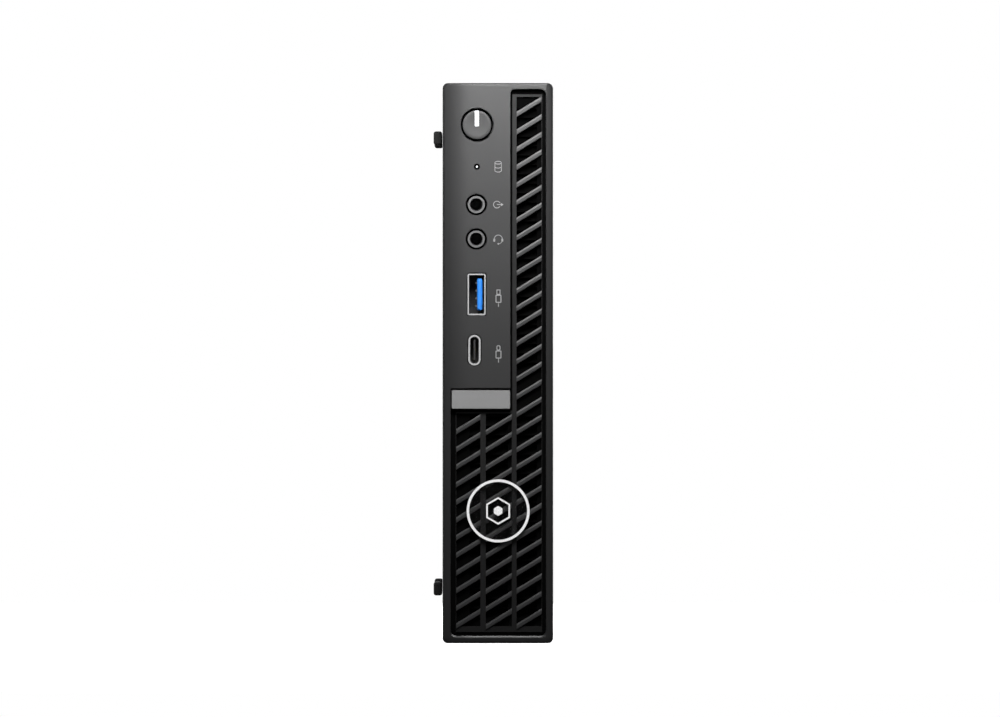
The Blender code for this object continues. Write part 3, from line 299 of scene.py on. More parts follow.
PORT_BLACK = finish("port_plastic", (0.006, 0.006, 0.0062), 0.5, 0, 3000, 0.02, 0.3, 0.12, gloss=0.3)
BLUE = finish("blue_plastic", (0.03, 0.25, 0.85), 0.34, 0, 3000, 0.005, 0.15, 0.06)
GOLD = finish("gold_contacts", (0.83, 0.62, 0.27), 0.25, 1, 4000, 0.004, 0.15, 0.05)
PAINT = finish("case_steel", (0.021, 0.021, 0.022), 0.52, 0, 2300, 0.03, 0.42, 0.1)
RUBBER = finish("rubber", (0.013, 0.013, 0.013), 0.82, 0, 3800, 0.03, 0.5, 0.15, gloss=0.3)
BOARD = board_finish()
CHIP = finish("component_black", (0.019, 0.019, 0.02), 0.5, 0, 2400, 0.02, 0.3, 0.15)
ALUMINIUM = finish("aluminium", (0.55, 0.56, 0.57), 0.38, 1, 3200, 0.002, 0.1, 0.05, (6, 1, 6), 0.5, 0.02)
PLATED = finish("plated_steel", (0.42, 0.42, 0.43), 0.34, 1, 4800, 0.001, 0.05, 0.04, rough_vary=0.02)
LAMP = finish("lamp_window", (0.32, 0.42, 0.3), 0.25, 0, 2500, 0.004, 0.1, 0.06)
PRINT = finish("pictogram_print", (0.3, 0.3, 0.302), 0.6, 0, 5000, 0.004, 0.1, 0.06)


# ---------------- outlines: lists of (x, z) points


def quarter(steps, first=0):
    """The angles that divide a right angle into steps."""
    return [math.radians(90 * step / steps) for step in range(first, steps + 1)]


def rounded(left, right, bottom, top, corner, steps=8):
    centres = (
        (right - corner, bottom + corner, -90),
        (right - corner, top - corner, 0),
        (left + corner, top - corner, 90),
        (left + corner, bottom + corner, 180),
    )
    return [
        (x + corner * math.cos(math.radians(start + 90 * step / steps)),
         z + corner * math.sin(math.radians(start + 90 * step / steps)))
        for x, z, start in centres
        for step in range(steps + 1)
    ]


def box_round(x, z, width, height, corner, steps=8):
    return rounded(x - width / 2, x + width / 2, z - height / 2, z + height / 2, corner, steps)


def inset_box(low, high, inset, corner, steps=8):
    return rounded(low.x + inset, high.x - inset, low.z + inset, high.z - inset, corner, steps)


def ring(x, z, radius, sides=64, turn=0.0):
    angles = [turn + 2 * math.pi * side / sides for side in range(sides)]
    return [(x + radius * math.cos(a), z + radius * math.sin(a)) for a in angles]


# ---------------- meshes


def mesh_from(shape):
    mesh = bpy.data.meshes.new("shape")
    bmesh.ops.recalc_face_normals(shape, faces=shape.faces)
    shape.to_mesh(mesh)
    shape.free()
    return mesh


def bridge(shape, low, high):
    """A band of faces between two loops of as many points."""
    for index in range(len(low)):
        after = (index + 1) % len(low)
        shape.faces.new((low[index], low[after], high[after], high[index]))


def loft(sections, capped=True):
    """A body through (y, outline) sections, which is capped at both ends or closes on its first section."""
    shape = bmesh.new()
    rows = [[shape.verts.new((x, y, z)) for x, z in outline] for y, outline in sections]
    for low, high in zip(rows, rows[1:] if capped else rows[1:] + rows[:1]):
        bridge(shape, low, high)
    if capped:
        shape.faces.new(rows[0])
        shape.faces.new(rows[-1][::-1])
    return mesh_from(shape)


def tube(sections):
    """A ring-shaped body, whose sections run round its wall."""
    return loft(sections, capped=False)


def sleeve(outline_of, outer, inner, near, far):
    """A ring-shaped wall between two outlines, from one depth to another."""
    rows = ((near, outer), (near, inner), (far, inner), (far, outer))
    return tube([(y, outline_of(size)) for y, size in rows])


def rolled_shell(outline_of, wall, front, back, roll):
    """The wall of a drawn shell with a rolled front edge. outline_of takes an inset."""
    edge = [*roll, *((1 - share, drop) for share, drop in reversed(roll))]
    sections = [(front + drop * MM, outline_of(share * wall)) for share, drop in edge]
    return tube([*sections, (back, outline_of(wall)), (back, outline_of(0.0))])


def pin(x, z, radius, sides, near, far):
    return loft([(near, ring(x, z, radius, sides)), (far, ring(x, z, radius, sides))])


def prism(section, ends):
    """A section of (y, z) points drawn out between two (x, lift) ends."""
    shape = bmesh.new()
    first, last = ([shape.verts.new((x, y, lift + z)) for y, z in section] for x, lift in ends)
    bridge(shape, first, last)
    shape.faces.new(first)
    shape.faces.new(last[::-1])
    return mesh_from(shape)


def slab(outlines, near, far):
    """Flat outlines, holes included, made solid between two depths."""
    curve = bpy.data.curves.new("outlines", "CURVE")
    curve.dimensions = "2D"
    curve.fill_mode = "BOTH"
    curve.extrude = (far - near) / 2
    for outline in outlines:
        spline = curve.splines.new("POLY")
        spline.points.add(len(outline) - 1)
        spline.use_cyclic_u = True
        for point, (x, z) in zip(spline.points, outline):
            point.co = (x, z, 0.0, 1.0)
    guide = bpy.data.objects.new("guide", curve)
    bpy.context.scene.collection.objects.link(guide)
    mesh = evaluated_mesh(guide)
    bpy.data.objects.remove(guide, do_unlink=True)
    turn = Matrix(((1, 0, 0), (0, 0, -1), (0, 1, 0))).to_4x4()
    mesh.transform(Matrix.Translation((0, (near + far) / 2, 0)) @ turn)
    shape = bmesh.new()
    shape.from_mesh(mesh)
    bmesh.ops.remove_doubles(shape, verts=shape.verts, dist=1e-7)
    bpy.data.meshes.remove(mesh)
    return mesh_from(shape)


def brick(low, high):
    shape = bmesh.new()
    bmesh.ops.create_cube(shape, size=1.0)
    low, high = Vector(low), Vector(high)
    bmesh.ops.scale(shape, vec=high - low, verts=shape.verts)
    bmesh.ops.translate(shape, vec=(low + high) / 2, verts=shape.verts)
    return mesh_from(shape)


def strip(x_low, x_high, near, far, z, half):
    """A brick that reaches half its height to either side of z."""
    return brick((x_low, near, z - half), (x_high, far, z + half))


def plug(low, high, inset, near, far):
    """A brick that fills a box but for an inset at its sides."""
    return brick((low.x + inset, near, low.z + inset), (high.x - inset, far, high.z - inset))


def merged(meshes):
    """Several meshes as one, kept as separate closed shells."""
    shape = bmesh.new()
    for mesh in meshes:
        shape.from_mesh(mesh)
        bpy.data.meshes.remove(mesh)
    return mesh_from(shape)


def evaluated_mesh(obj):
    bpy.context.view_layer.update()
    graph = bpy.context.evaluated_depsgraph_get()
    return bpy.data.meshes.new_from_object(obj.evaluated_get(graph), depsgraph=graph)


# ---------------- pieces


def shade(mesh, angle):
    """Smooth shading, but for the edges that are sharper than an angle."""
    mesh.shade_smooth()
    mesh.set_sharp_from_angle(angle=math.radians(angle))


def add(name, mesh, material, smooth=True, angle=32.0):
    """Puts a mesh in the scene as an object with one material."""
    mesh.name = name
    mesh.materials.clear()
    mesh.materials.append(material)
    if smooth:
        shade(mesh, angle)
    obj = bpy.data.objects.new(name, mesh)
    bpy.context.scene.collection.objects.link(obj)
    return obj


def carve(obj, cutters, operation="DIFFERENCE"):
    """Cuts meshes from an object one by one, and keeps the result as its mesh."""
    for cutter_mesh in cutters:
        cutter = bpy.data.objects.new("cutter", cutter_mesh)
        bpy.context.scene.collection.objects.link(cutter)
        modifier = obj.modifiers.new("cut", "BOOLEAN")
        modifier.operation = operation
        modifier.solver = "EXACT"
        modifier.object = cutter
        mesh = evaluated_mesh(obj)
        obj.modifiers.clear()
        obj.data = mesh
        bpy.data.objects.remove(cutter, do_unlink=True)


def soften(obj, width, segments=2, angle=35.0):
    """Rounds the sharp edges, so that they catch the light."""
    edges = obj.modifiers.new("edges", "BEVEL")
    edges.width = width
    edges.segments = segments
    edges.limit_method = "ANGLE"
    edges.angle_limit = math.radians(angle)
    edges.use_clamp_overlap = True
    edges.harden_normals = False


def weigh_normals(obj):
    obj.modifiers.new("normals", "WEIGHTED_NORMAL").keep_sharp = True


def place(obj, body, slot, *stands_for):
    """Gives a piece its body and hides the CAD nodes that it stands for. slot is not used."""
    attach(obj, body)
    if stands_for:
        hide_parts(*stands_for)


def fit(name, mesh, material, slot, *stands_for, body="chassis", edge=(), **shading):
    """Makes a mesh a piece of the object. edge is how soften rounds it: width, segments and angle."""
    piece = add(name, mesh, material, **shading)
    if edge:
        soften(piece, *edge)
    place(piece, body, slot, *stands_for)


# ---------------- bezel


def crown(x):
    """How far the front face falls back at a place across."""
    if x < CROWN_START:
        return CROWN_DROP * ((CROWN_START - x) / CROWN_REACH) ** CROWN_POWER
    if x > LIP_START:
        return LIP_DROP * ((x - LIP_START) / LIP_REACH) ** LIP_POWER
    return 0.0


def chin(z):
    """How far the front face falls back under the mouth."""
    return CHIN_DROP * max(0.0, (CHIN_START - z) / CHIN_START) ** CHIN_POWER


def follow_crown(mesh, depth=CROWN_DEPTH):
    """Cuts a front part into upright strips and lets its front follow the crown, less so further back."""
    shape = bmesh.new()
    shape.from_mesh(mesh)
    reach = LEFT + FLAT_EDGE - CROWN_START
    places = [CROWN_START + reach * step / 16 for step in range(17)]
    places += [LIP_START + LIP_REACH * step / 6 for step in range(6)]
    cuts = [((x, 0, 0), (1, 0, 0)) for x in places]
    cuts += [((0, 0, CHIN_START * step / 4), (0, 0, 1)) for step in range(1, 5)]
    for point, normal in cuts:
        everything = [*shape.verts, *shape.edges, *shape.faces]
        bmesh.ops.bisect_plane(shape, geom=everything, plane_co=point, plane_no=normal, dist=1e-7)
    front = min(vertex.co.y for vertex in shape.verts)
    for vertex in shape.verts:
        share = max(0.0, 1 - (vertex.co.y - front) / depth)
        fall = crown(vertex.co.x) + chin(vertex.co.z)
        vertex.co.y += fall * min(1.0, share * CROWN_HOLD)
    shape.to_mesh(mesh)
    shape.free()
    mesh.update()


def recess_outline(grow, sink=0.0):
    """The mouth: a narrow column, and a wide foot under the name plate. sink lowers its bottom edge."""
    left, right = MOUTH_LEFT - grow, MOUTH_RIGHT + grow
    bottom, top = MOUTH_BOTTOM - grow, MOUTH_TOP + grow
    inner, shoulder = COLUMN_LEFT - grow, SHOULDER + grow
    corner = MOUTH_CORNER + grow
    whole = rounded(left, right, bottom, top, corner, 6)
    kept = [(x, z) for x, z in whole if x > 0 or z < HEIGHT / 2]
    if sink:
        kept = [lowered(x, z, left + corner, right - corner, bottom + corner, sink / corner) for x, z in kept]
    notch = [
        (inner + NOTCH_CORNER * (1 - math.sin(a)), top - NOTCH_CORNER * (1 - math.cos(a))) for a in quarter(6)
    ]
    notch += [(inner, shoulder), (left, shoulder)]
    return [p for p in kept if p[0] > 0] + notch + [p for p in kept if p[0] < 0]


def lowered(x, z, left, right, level, share):
    """Moves a point of the mouth's bottom corners outwards, the more so the further down it faces."""
    if z >= level:
        return x, z
    across = x - min(max(x, left), right)
    down = level - z
    fall = share * down / max(math.hypot(across, down), 0.01 * MM)
    return x + across * fall, z - down * fall


def mouth(outline_of, flare):
    """A cutter whose mouth opens out by a small chamfer at the front face."""
    wide, narrow = outline_of(flare), outline_of(0.0)
    front_rows = [(FRONT - 1.0 * MM, wide), (FRONT + 0.02 * MM, wide)]
    return loft([*front_rows, (FRONT + flare, narrow), (FACE_BACK + 0.1 * MM, narrow)])


def sill():
    """A cutter that slopes the bottom edge of the mouth, where the light lies on it."""
    low, level = recess_outline(0.0, SILL_DEPTH), recess_outline(0.0)
    front_rows = [(FRONT - 1.0 * MM, low), (FRONT, low)]
    cutter = loft([*front_rows, (FRONT + SILL_SLOPE * SILL_DEPTH, level), (FRONT + 1.5 * MM, level)])
    follow_crown(cutter, 10.0 * MM)
    return cutter


def bezel():
    """The plastic front: a hollow shell with a crowned face, its mouth and the holes for the ports."""
    edge, wall = 0.75 * MM, 2.8 * MM
    sections = [(BEZEL_HIGH.y, rounded(LEFT, RIGHT, 0.0, HEIGHT, CASE_CORNER))]
    for angle in quarter(6):
        inset = edge * (1 - math.cos(angle))
        outline = rounded(LEFT + inset, RIGHT - inset, inset, HEIGHT - inset, CASE_CORNER - 0.5 * inset)
        sections.append((FRONT + edge * (1 - math.sin(angle)), outline))
    mesh = loft(sections[::-1])
    follow_crown(mesh)
    body = add("front_bezel_shell", mesh, BEZEL)
    cutters = [
        brick((LEFT + wall, FACE_BACK, wall), (RIGHT - wall, BEZEL_HIGH.y + 1 * MM, HEIGHT - wall)),
        mouth(recess_outline, 0.1 * MM),
        sill(),
        mouth(lambda grow: ring(BUTTON_X, BUTTON_Z, 5.48 * MM + grow, 72), 0.06 * MM),
        mouth(lambda grow: ring(BUTTON_X, LED_Z, 0.95 * MM + grow, 24), 0.1 * MM),
    ]
    for port, corner in ((USB_A, 0.7 * MM), (USB_C, 2.1 * MM)):
        cutters.append(mouth(lambda grow: inset_box(*port, -0.15 * MM - grow, corner + grow), 0.15 * MM))
    for z, _ in JACKS:
        cutters.append(mouth(lambda grow: ring(JACK_X, z, 3.4 * MM + grow, 56), 0.15 * MM))
    carve(body, cutters)
    shade(body.data, 30)
    weigh_normals(body)
    place(body, "chassis", "bezel_plastic", "front_bezel")


# ---------------- grille


def slat(left, right, start):
    """One slanted slat, with a flat facet on its upper front that catches the light."""
    front, back = INSERT_LOW.y, INSERT_HIGH.y
    half = SLAT_HEIGHT / 2
    section = (
        (front + 0.45 * MM, half),
        (front + 0.12 * MM, half - 0.12 * MM),
        (front, half - 0.62 * MM),
        (front, -half + 0.22 * MM),
        (front + 0.25 * MM, -half),
        (back, -half),
        (back, half),
    )
    root = 0.02 * MM
    return prism(section, [(x, start + half + SLOPE * (x - left)) for x in (left - root, right + root)])


def frame_outline():
    """The outline of the grille's raised frame, a little inside the mouth of the bezel."""
    left, inner, right = -13.7 * MM, 4.7 * MM, 14.4 * MM
    bottom, shoulder, top = 3.6 * MM, 75.6 * MM, 178.35 * MM
    return [(left, bottom), (right, bottom), (right, top), (inner, top), (inner, shoulder), (left, shoulder)]


def grille():
    """The frame with its ribs, a flange behind it, and the slats across its windows."""
    front, back = INSERT_LOW.y, INSERT_HIGH.y
    windows = [
        rounded(left, right, COLUMN_FOOT, top, 0.1 * MM, 2) for left, right, _, _, top in GRILLE_COLUMNS
    ]
    ribs = slab([frame_outline(), *windows], front + FRAME_SETBACK, back - 0.5 * MM)
    # The frame and ribs take the darker copy of the grille plastic: painted shade.
    fit("grille_frame", ribs, SHADED_GRILLE, "grille_plastic", "grille_insert", edge=(0.1 * MM,))
    # The flange takes the near-black finish: painted shade in the gap round the frame.
    flange = slab([recess_outline(-0.12 * MM), *windows], back - 0.6 * MM, back)
    fit("grille_flange", flange, PAINTED_SHADE_BLACK, "grille_plastic")
    slats = [
        slat(left, right, first + index * PITCH)
        for left, right, count, first, _ in GRILLE_COLUMNS
        for index in range(count)
    ]
    fit("grille_slats", merged(slats), GRILLE, "grille_plastic", angle=8, edge=(0.05 * MM, 2, 18))


def painted_shade_liner():
    """A near-black sheet of painted shade before the tray's front wall, with sloping vanes behind the grille
    that let air past and keep the inside out of sight."""
    front, back = INSERT_HIGH.y + 0.25 * MM, INSERT_HIGH.y + 0.55 * MM
    pieces = []
    for left, right, top, windows in LINER_SHEETS:
        outline = rounded(left * MM, right * MM, LINER_BOTTOM, top * MM, 1 * MM, 3)
        rooms = [rounded(*(side * MM for side in sides), 0.6 * MM, 3) for sides in windows]
        pieces.append(slab([outline, *rooms], front, back))
    for field in LINER_VANES:
        left, right, low, high = (side * MM for side in field)
        count = int((high - low) / VANE_PITCH)
        pitch = (high - low) / count
        pieces += [vane(left, right, low + index * pitch, pitch) for index in range(count)]
    fit("nose_painted_shade_liner", merged(pieces), PAINTED_SHADE_BLACK, "rubber")


def vane(left, right, bottom, pitch):
    """One sloping vane, which overlaps the next as seen from the front."""
    top = bottom + pitch * 1.05
    lower_edge = [(VANE_FRONT, bottom), (VANE_BACK, top)]
    section = lower_edge + [(y, z + VANE_THICKNESS) for y, z in lower_edge[::-1]]
    return prism(section, ((left, 0.0), (right, 0.0)))


def collars():
    """Near-black collars of painted shade behind the face that close the gaps round the ports, and a disc of
    it behind the button.
    """
    near, far = FACE_BACK + 0.05 * MM, FACE_BACK + 0.35 * MM
    radii = (4.4 * MM, 2.82 * MM)
    pieces = [slab([ring(JACK_X, z, radius, 48) for radius in radii], near, far) for z, _ in JACKS]
    for port in (USB_A, USB_C):
        outer, inner = inset_box(*port, -1.2 * MM, 1.0 * MM), inset_box(*port, -0.02 * MM, 0.5 * MM)
        pieces.append(slab([outer, inner], near, far))
    disc = [ring(BUTTON_X, BUTTON_Z, 6.6 * MM, 48), ring(BUTTON_X, BUTTON_Z, 1.7 * MM, 24)]
    pieces.append(slab(disc, FRONT + 5.8 * MM, FRONT + 6.1 * MM))
    fit("port_collars", merged(pieces), PAINTED_SHADE_BLACK, "rubber")


# ---------------- name plate, badge and lights


def name_plate():
    """The blank silver strip, with a bevel round its face."""
    low, high = NAME_LOW, NAME_HIGH
    bevel = [(low.y + drop * MM, inset * MM) for drop, inset in ((0.02, 0.2), (0.12, 0.09), (0.42, 0.0))]
    rows = [*bevel, (high.y + 0.25 * MM, 0.0)]
    mesh = loft([(y, inset_box(low, high, inset, 0.35 * MM, 3)) for y, inset in rows])
    fit("name_plate_blank", mesh, SILVER, "silver_trim", "name_plate", angle=12)
    # The backing behind the plate is near-black painted shade.
    back = rounded(low.x - 0.1 * MM, high.x, low.z - 0.9 * MM, SHOULDER - 0.05 * MM, 0.3 * MM, 3)
    backing = slab([back], high.y + 0.3 * MM, INSERT_LOW.y + 0.72 * MM)
    fit("name_plate_backing", backing, PAINTED_SHADE_BLACK, "grille_plastic")


def badge():
    """A round badge: a silver rim, a smoked window and a plain six-sided emblem."""
    low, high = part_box("badge_ring")
    x, z = centre(low, high)
    outer = (high.x - low.x) / 2
    inner = outer - 0.95 * MM
    front, back = low.y, high.y
    rim = rolled_shell(lambda inset: ring(x, z, outer - inset, 96), outer - inner, front, back, BADGE_ROLL)
    fit("badge_rim", rim, BRIGHT, "silver_trim", "badge_ring", body="badge", angle=10)
    pane_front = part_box("badge_disc")[0].y
    rows = ((pane_front, 0.1), (pane_front + 0.05 * MM, 0.02), (back - 0.05 * MM, 0.02))
    pane = loft([(y, ring(x, z, inner - gap * MM, 96)) for y, gap in rows])
    fit("badge_window", pane, SMOKE, "smoked_clear", "badge_disc", body="badge", angle=30)
    # The pin takes the darker copy of the grille plastic: painted shade behind the window.
    stem = pin(x, z, 1.4 * MM, 24, back - 0.02 * MM, INSERT_HIGH.y + 0.1 * MM)
    fit("badge_pin", stem, SHADED_GRILLE, "grille_plastic", body="badge")
    root, top = pane_front - 0.02 * MM, front + 0.08 * MM
    rows = ((root, 4.6), (top, 4.48), (top, 3.87), (root, 3.75))
    emblem = tube([(y, hexagon(x, z, radius * MM)) for y, radius in rows])
    fit("badge_hexagon", emblem, BRIGHT, "silver_trim", "badge_emblem", body="badge", angle=20)
    core = loft([(top, hexagon(x, z, 1.6 * MM)), (root, hexagon(x, z, 1.72 * MM))])
    fit("badge_core", core, BRIGHT, "silver_trim", body="badge", angle=20)


def hexagon(x, z, radius):
    return ring(x, z, radius, 6, math.pi / 6)


def power_button():
    """A dished cap with a rounded rim, and the white bar that lights up in it."""
    front, back = BUTTON_LOW.y - 0.02 * MM, BUTTON_LOW.y + 4.6 * MM
    radius = (BUTTON_HIGH.x - BUTTON_LOW.x) / 2 - 0.1 * MM
    round_edge = 0.18 * MM
    rows = []
    for share in (0.0, 0.25, 0.5, 0.75, 1.0):
        rows.append((front + 0.08 * MM * (1 - share**2), radius * (0.04 + 0.92 * share)))
    for angle in quarter(5, 1):
        rows.append((front + round_edge * (1 - math.cos(angle)), radius - round_edge * (1 - math.sin(angle))))
    rows.append((back, radius))
    cap = loft([(y, ring(BUTTON_X, BUTTON_Z, size, 72)) for y, size in rows])
    cap = add("power_button_cap", cap, CAP, angle=35)
    low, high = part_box("power_light_pipe")
    narrow = Vector((0.15 * MM, 0.0, 0.0))
    low, high = low + narrow, high - narrow
    carve(cap, [slab([inset_box(low, high, -0.04 * MM, 0.12 * MM, 3)], front - 1 * MM, front + 2.0 * MM)])
    shade(cap.data, 35)
    place(cap, "power_button", "bezel_plastic", "power_button")
    # The stem takes the darker copy of the grille plastic: painted shade behind the cap.
    stem = pin(BUTTON_X, BUTTON_Z, 1.5 * MM, 24, back - 0.1 * MM, BUTTON_HIGH.y)
    fit("power_button_stem", stem, SHADED_GRILLE, "bezel_plastic", body="power_button")
    bar = slab([inset_box(low, high, 0.0, 0.1 * MM, 3)], front + 0.1 * MM, front + 1.9 * MM)
    looks = {"body": "power_button", "edge": (0.05 * MM,)}
    fit("power_light_bar", bar, LIGHT_BAR, "light_pipe", "power_light_pipe", **looks)


def activity_light():
    """A small lit dome, with a near-black sleeve of painted shade round it."""
    x, z = BUTTON_X, LED_Z
    radius, rise, root = 0.3 * MM, 0.2 * MM, 0.01 * MM
    dome = [
        (LED_LOW.y + rise * (1 - math.sin(angle)), ring(x, z, radius * math.cos(angle) + root, 24))
        for angle in quarter(6, 1)[::-1]
    ]
    dome.append((LED_HIGH.y, ring(x, z, radius + root, 24)))
    fit("activity_light_dome", loft(dome), LIGHT_BAR, "light_pipe", "activity_light_pipe")
    wall = sleeve(lambda size: ring(x, z, size, 32), 0.93 * MM, 0.36 * MM, FRONT + 0.2 * MM, FRONT + 3.0 * MM)
    fit("activity_light_sleeve", wall, PAINTED_SHADE_BLACK, "grille_plastic")


# ---------------- front ports


def jacks():
    """Audio sockets: a bright rolled rim, a dark sleeve inside it and a contact spring in the bore, painted
    black as shade.
    """
    outer, bore = 2.8 * MM, 2.08 * MM
    for z, name in JACKS:
        low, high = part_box(name)
        front = low.y
        rim = rolled_shell(
            lambda inset: ring(JACK_X, z, outer - inset), outer - bore, front, front + 8.0 * MM, JACK_ROLL
        )
        fit(name + "_rim", rim, JACK_RIM, "port_metal", name, angle=10)
        skin = (bore - 0.01 * MM, bore - 0.22 * MM)
        inner = sleeve(lambda size: ring(JACK_X, z, size, 48), *skin, front + 0.9 * MM, front + 12.0 * MM)
        fit(name + "_liner", inner, PORT_BLACK, "port_plastic")
        house = add(name + "_housing", plug(low, high, 0.0, front + 8.1 * MM, high.y), PORT_BLACK)
        carve(house, [pin(JACK_X, z, 1.7 * MM, 32, front, front + 14 * MM)])
        soften(house, 0.25 * MM)
        place(house, "chassis", "port_plastic")
        # The metal spring takes the port's black plastic: painted shade deep in the bore.
        spring = strip(JACK_X + 1.3 * MM, JACK_X + 1.6 * MM, front + 6.5 * MM, front + 9.5 * MM, z, 0.5 * MM)
        fit(name + "_contact", spring, PORT_BLACK, "port_metal", edge=(0.08 * MM,))


def usb_a():
    """The wide socket: its shell, the blue tongue with contacts on it, and the springs in its sides, painted
    black as shade.
    """
    low, high = USB_A
    front, back = low.y, high.y
    shell = rolled_shell(
        lambda inset: inset_box(low, high, inset, max(0.15 * MM, 0.65 * MM - inset), 9),
        0.55 * MM, front, back, PORT_ROLL,
    )
    fit("usb_a_shell", shell, STEEL_PORT, "port_metal", "front_usb_a_shell", angle=12)
    t_low, t_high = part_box("front_usb_a_tongue")
    x = (low.x + high.x) / 2 + 0.15 * MM
    trim = 0.8 * MM
    tongue = brick((x, front + 0.4 * MM, t_low.z + trim), (x + 1.75 * MM, back - 2.0 * MM, t_high.z - trim))
    fit("usb_a_tongue", tongue, BLUE, "blue_plastic", "front_usb_a_tongue", edge=(0.72 * MM, 6))
    base = plug(low, high, 0.65 * MM, back - 3.0 * MM, back - 0.1 * MM)
    fit("usb_a_base", base, PORT_BLACK, "port_plastic")
    middle = (low.z + high.z) / 2
    rows = [middle + (index - 1.5) * 2.5 * MM for index in range(4)]
    flat = (x - 0.12 * MM, x + 0.05 * MM, front + 1.6 * MM, front + 9.0 * MM)
    tip = (x - 0.55 * MM, x + 0.02 * MM, front + 1.1 * MM, front + 1.7 * MM)
    contacts = [strip(*flat, z, 0.35 * MM) for z in rows] + [strip(*tip, z, 0.28 * MM) for z in rows]
    fit("usb_a_contacts", merged(contacts), JACK_RIM, "port_metal", edge=(0.06 * MM,))
    # The metal spring tabs take the port's black plastic: painted shade inside the socket.
    dimples = [
        strip(side, side + 0.3 * MM, front + 3.4 * MM, front + 7.0 * MM, z, 0.8 * MM)
        for side in (low.x + 0.6 * MM, high.x - 0.9 * MM)
        for z in (middle - 3.0 * MM, middle + 3.0 * MM)
    ]
    fit("usb_a_springs", merged(dimples), PORT_BLACK, "port_metal", edge=(0.1 * MM,))


def usb_c():
    """The narrow socket: its shell, and a thin tongue with contacts on both faces."""
    low, high = USB_C
    front, back = low.y, high.y
    width = high.x - low.x

    def outline(inset):
        return inset_box(low, high, inset, 0.49 * width - inset, 12)

    shell = rolled_shell(outline, 0.72 * MM, front, back, PORT_ROLL)
    fit("usb_c_shell", shell, STEEL_PORT, "port_metal", "front_usb_c_shell", angle=12)
    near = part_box("front_usb_c_tongue")[0].y
    x, middle = centre(low, high)
    tongue = strip(x - 0.33 * MM, x + 0.33 * MM, near, back - 2.0 * MM, middle, 3.3 * MM)
    fit("usb_c_tongue", tongue, CHIP, "port_plastic", "front_usb_c_tongue", edge=(0.15 * MM,))
    room = outline(0.75 * MM)
    fit("usb_c_base", loft([(back - 2.5 * MM, room), (back - 0.1 * MM, room)]), PORT_BLACK, "port_plastic")
    thin = 0.03 * MM
    rows = [middle + (index - 5.5) * 0.5 * MM for index in range(12)]
    pads = [
        strip(face - thin, face + thin, near + 1.2 * MM, near + 5.0 * MM, z, 0.13 * MM)
        for face in (x - 0.31 * MM, x + 0.31 * MM)
        for z in rows
    ]
    fit("usb_c_contacts", merged(pads), GOLD, "port_metal", smooth=False)


# ---------------- rear ports


def rear_shell(name, hollows, depth=PORT_DEPTH, material=STEEL_PORT, slot="port_metal"):
    """The shell of a port with its hollows, and the plastic block that closes it inside."""
    low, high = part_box(name)
    shell = slab([inset_box(low, high, 0.0, 0.4 * MM, 3), *hollows], high.y - depth, high.y)
    fit(name + "_shell", shell, material, slot, name, edge=(0.12 * MM,))
    block = plug(low, high, 0.2 * MM, low.y, high.y - depth)
    fit(name + "_block", block, PORT_BLACK, "port_plastic", edge=(0.15 * MM,))
    return high.y


def lining(name, outline_of, back):
    """The dark plastic skin inside a port's mouth."""
    skin = sleeve(outline_of, 0.02 * MM, 0.3 * MM, back - 0.5 * MM, back - PORT_DEPTH - 0.1 * MM)
    fit(name + "_lining", skin, PORT_BLACK, "port_plastic")


def tongue_with_pads(name, middle, up, size, back, material, slot, count):
    """A contact tongue and the gold pads on both its faces."""
    wide, tall = size
    left, right = middle - wide / 2, middle + wide / 2
    root = back - PORT_DEPTH
    blade = strip(left, right, root - 0.1 * MM, back - 1.0 * MM, up, tall / 2)
    fit(name + "_tongue", blade, material, slot, edge=(0.2 * MM,))
    pitch, thin = tall / (count + 1), 0.04 * MM
    rows = [up + (index - (count - 1) / 2) * pitch for index in range(count)]
    pads = [
        strip(face - thin, face + thin, root + 1.0 * MM, back - 1.6 * MM, z, 0.28 * pitch)
        for face in (left, right)
        for z in rows
    ]
    fit(name + "_pads", merged(pads), GOLD, "port_metal", smooth=False)


def rear_usb(name, material, slot):
    """Two wide sockets side by side in one shell."""
    across, up = centre(*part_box(name))
    middles = (across - 3.7 * MM, across + 3.7 * MM)

    def outline(middle, inset):
        return box_round(middle, up, 4.9 * MM - 2 * inset, 12.4 * MM - 2 * inset, 0.3 * MM, 3)

    back = rear_shell(name, [outline(middle, 0.0) for middle in middles])
    for index, middle in enumerate(middles):
        label = f"{name}_{index}"
        tongue_with_pads(label, middle + 0.9 * MM, up, (1.7 * MM, 10.2 * MM), back, material, slot, 4)
        lining(label, lambda inset: outline(middle, inset), back)


def rear_video(name, both):
    """A video socket, with one corner cut off or, for the other kind, both of them on one side."""
    low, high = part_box(name)
    across, up = centre(low, high)
    wide, corner = 2.4 * MM, 1.4 * MM
    tall = (high.z - low.z) / 2 - 0.6 * MM

    def outline(inset):
        left, right = across - wide + inset, across + wide - inset
        bottom, top = up - tall + inset, up + tall - inset
        upper = [(left + corner, top), (left, top - corner)] if both else [(left, top)]
        return [(left, bottom + corner), (left + corner, bottom), (right, bottom), (right, top), *upper]

    back = rear_shell(name, [outline(0.0)])
    lining(name, outline, back)
    size = (1.3 * MM, high.z - low.z - 5.0 * MM)
    tongue_with_pads(name, across, up, size, back, PORT_BLACK, "port_plastic", 10)


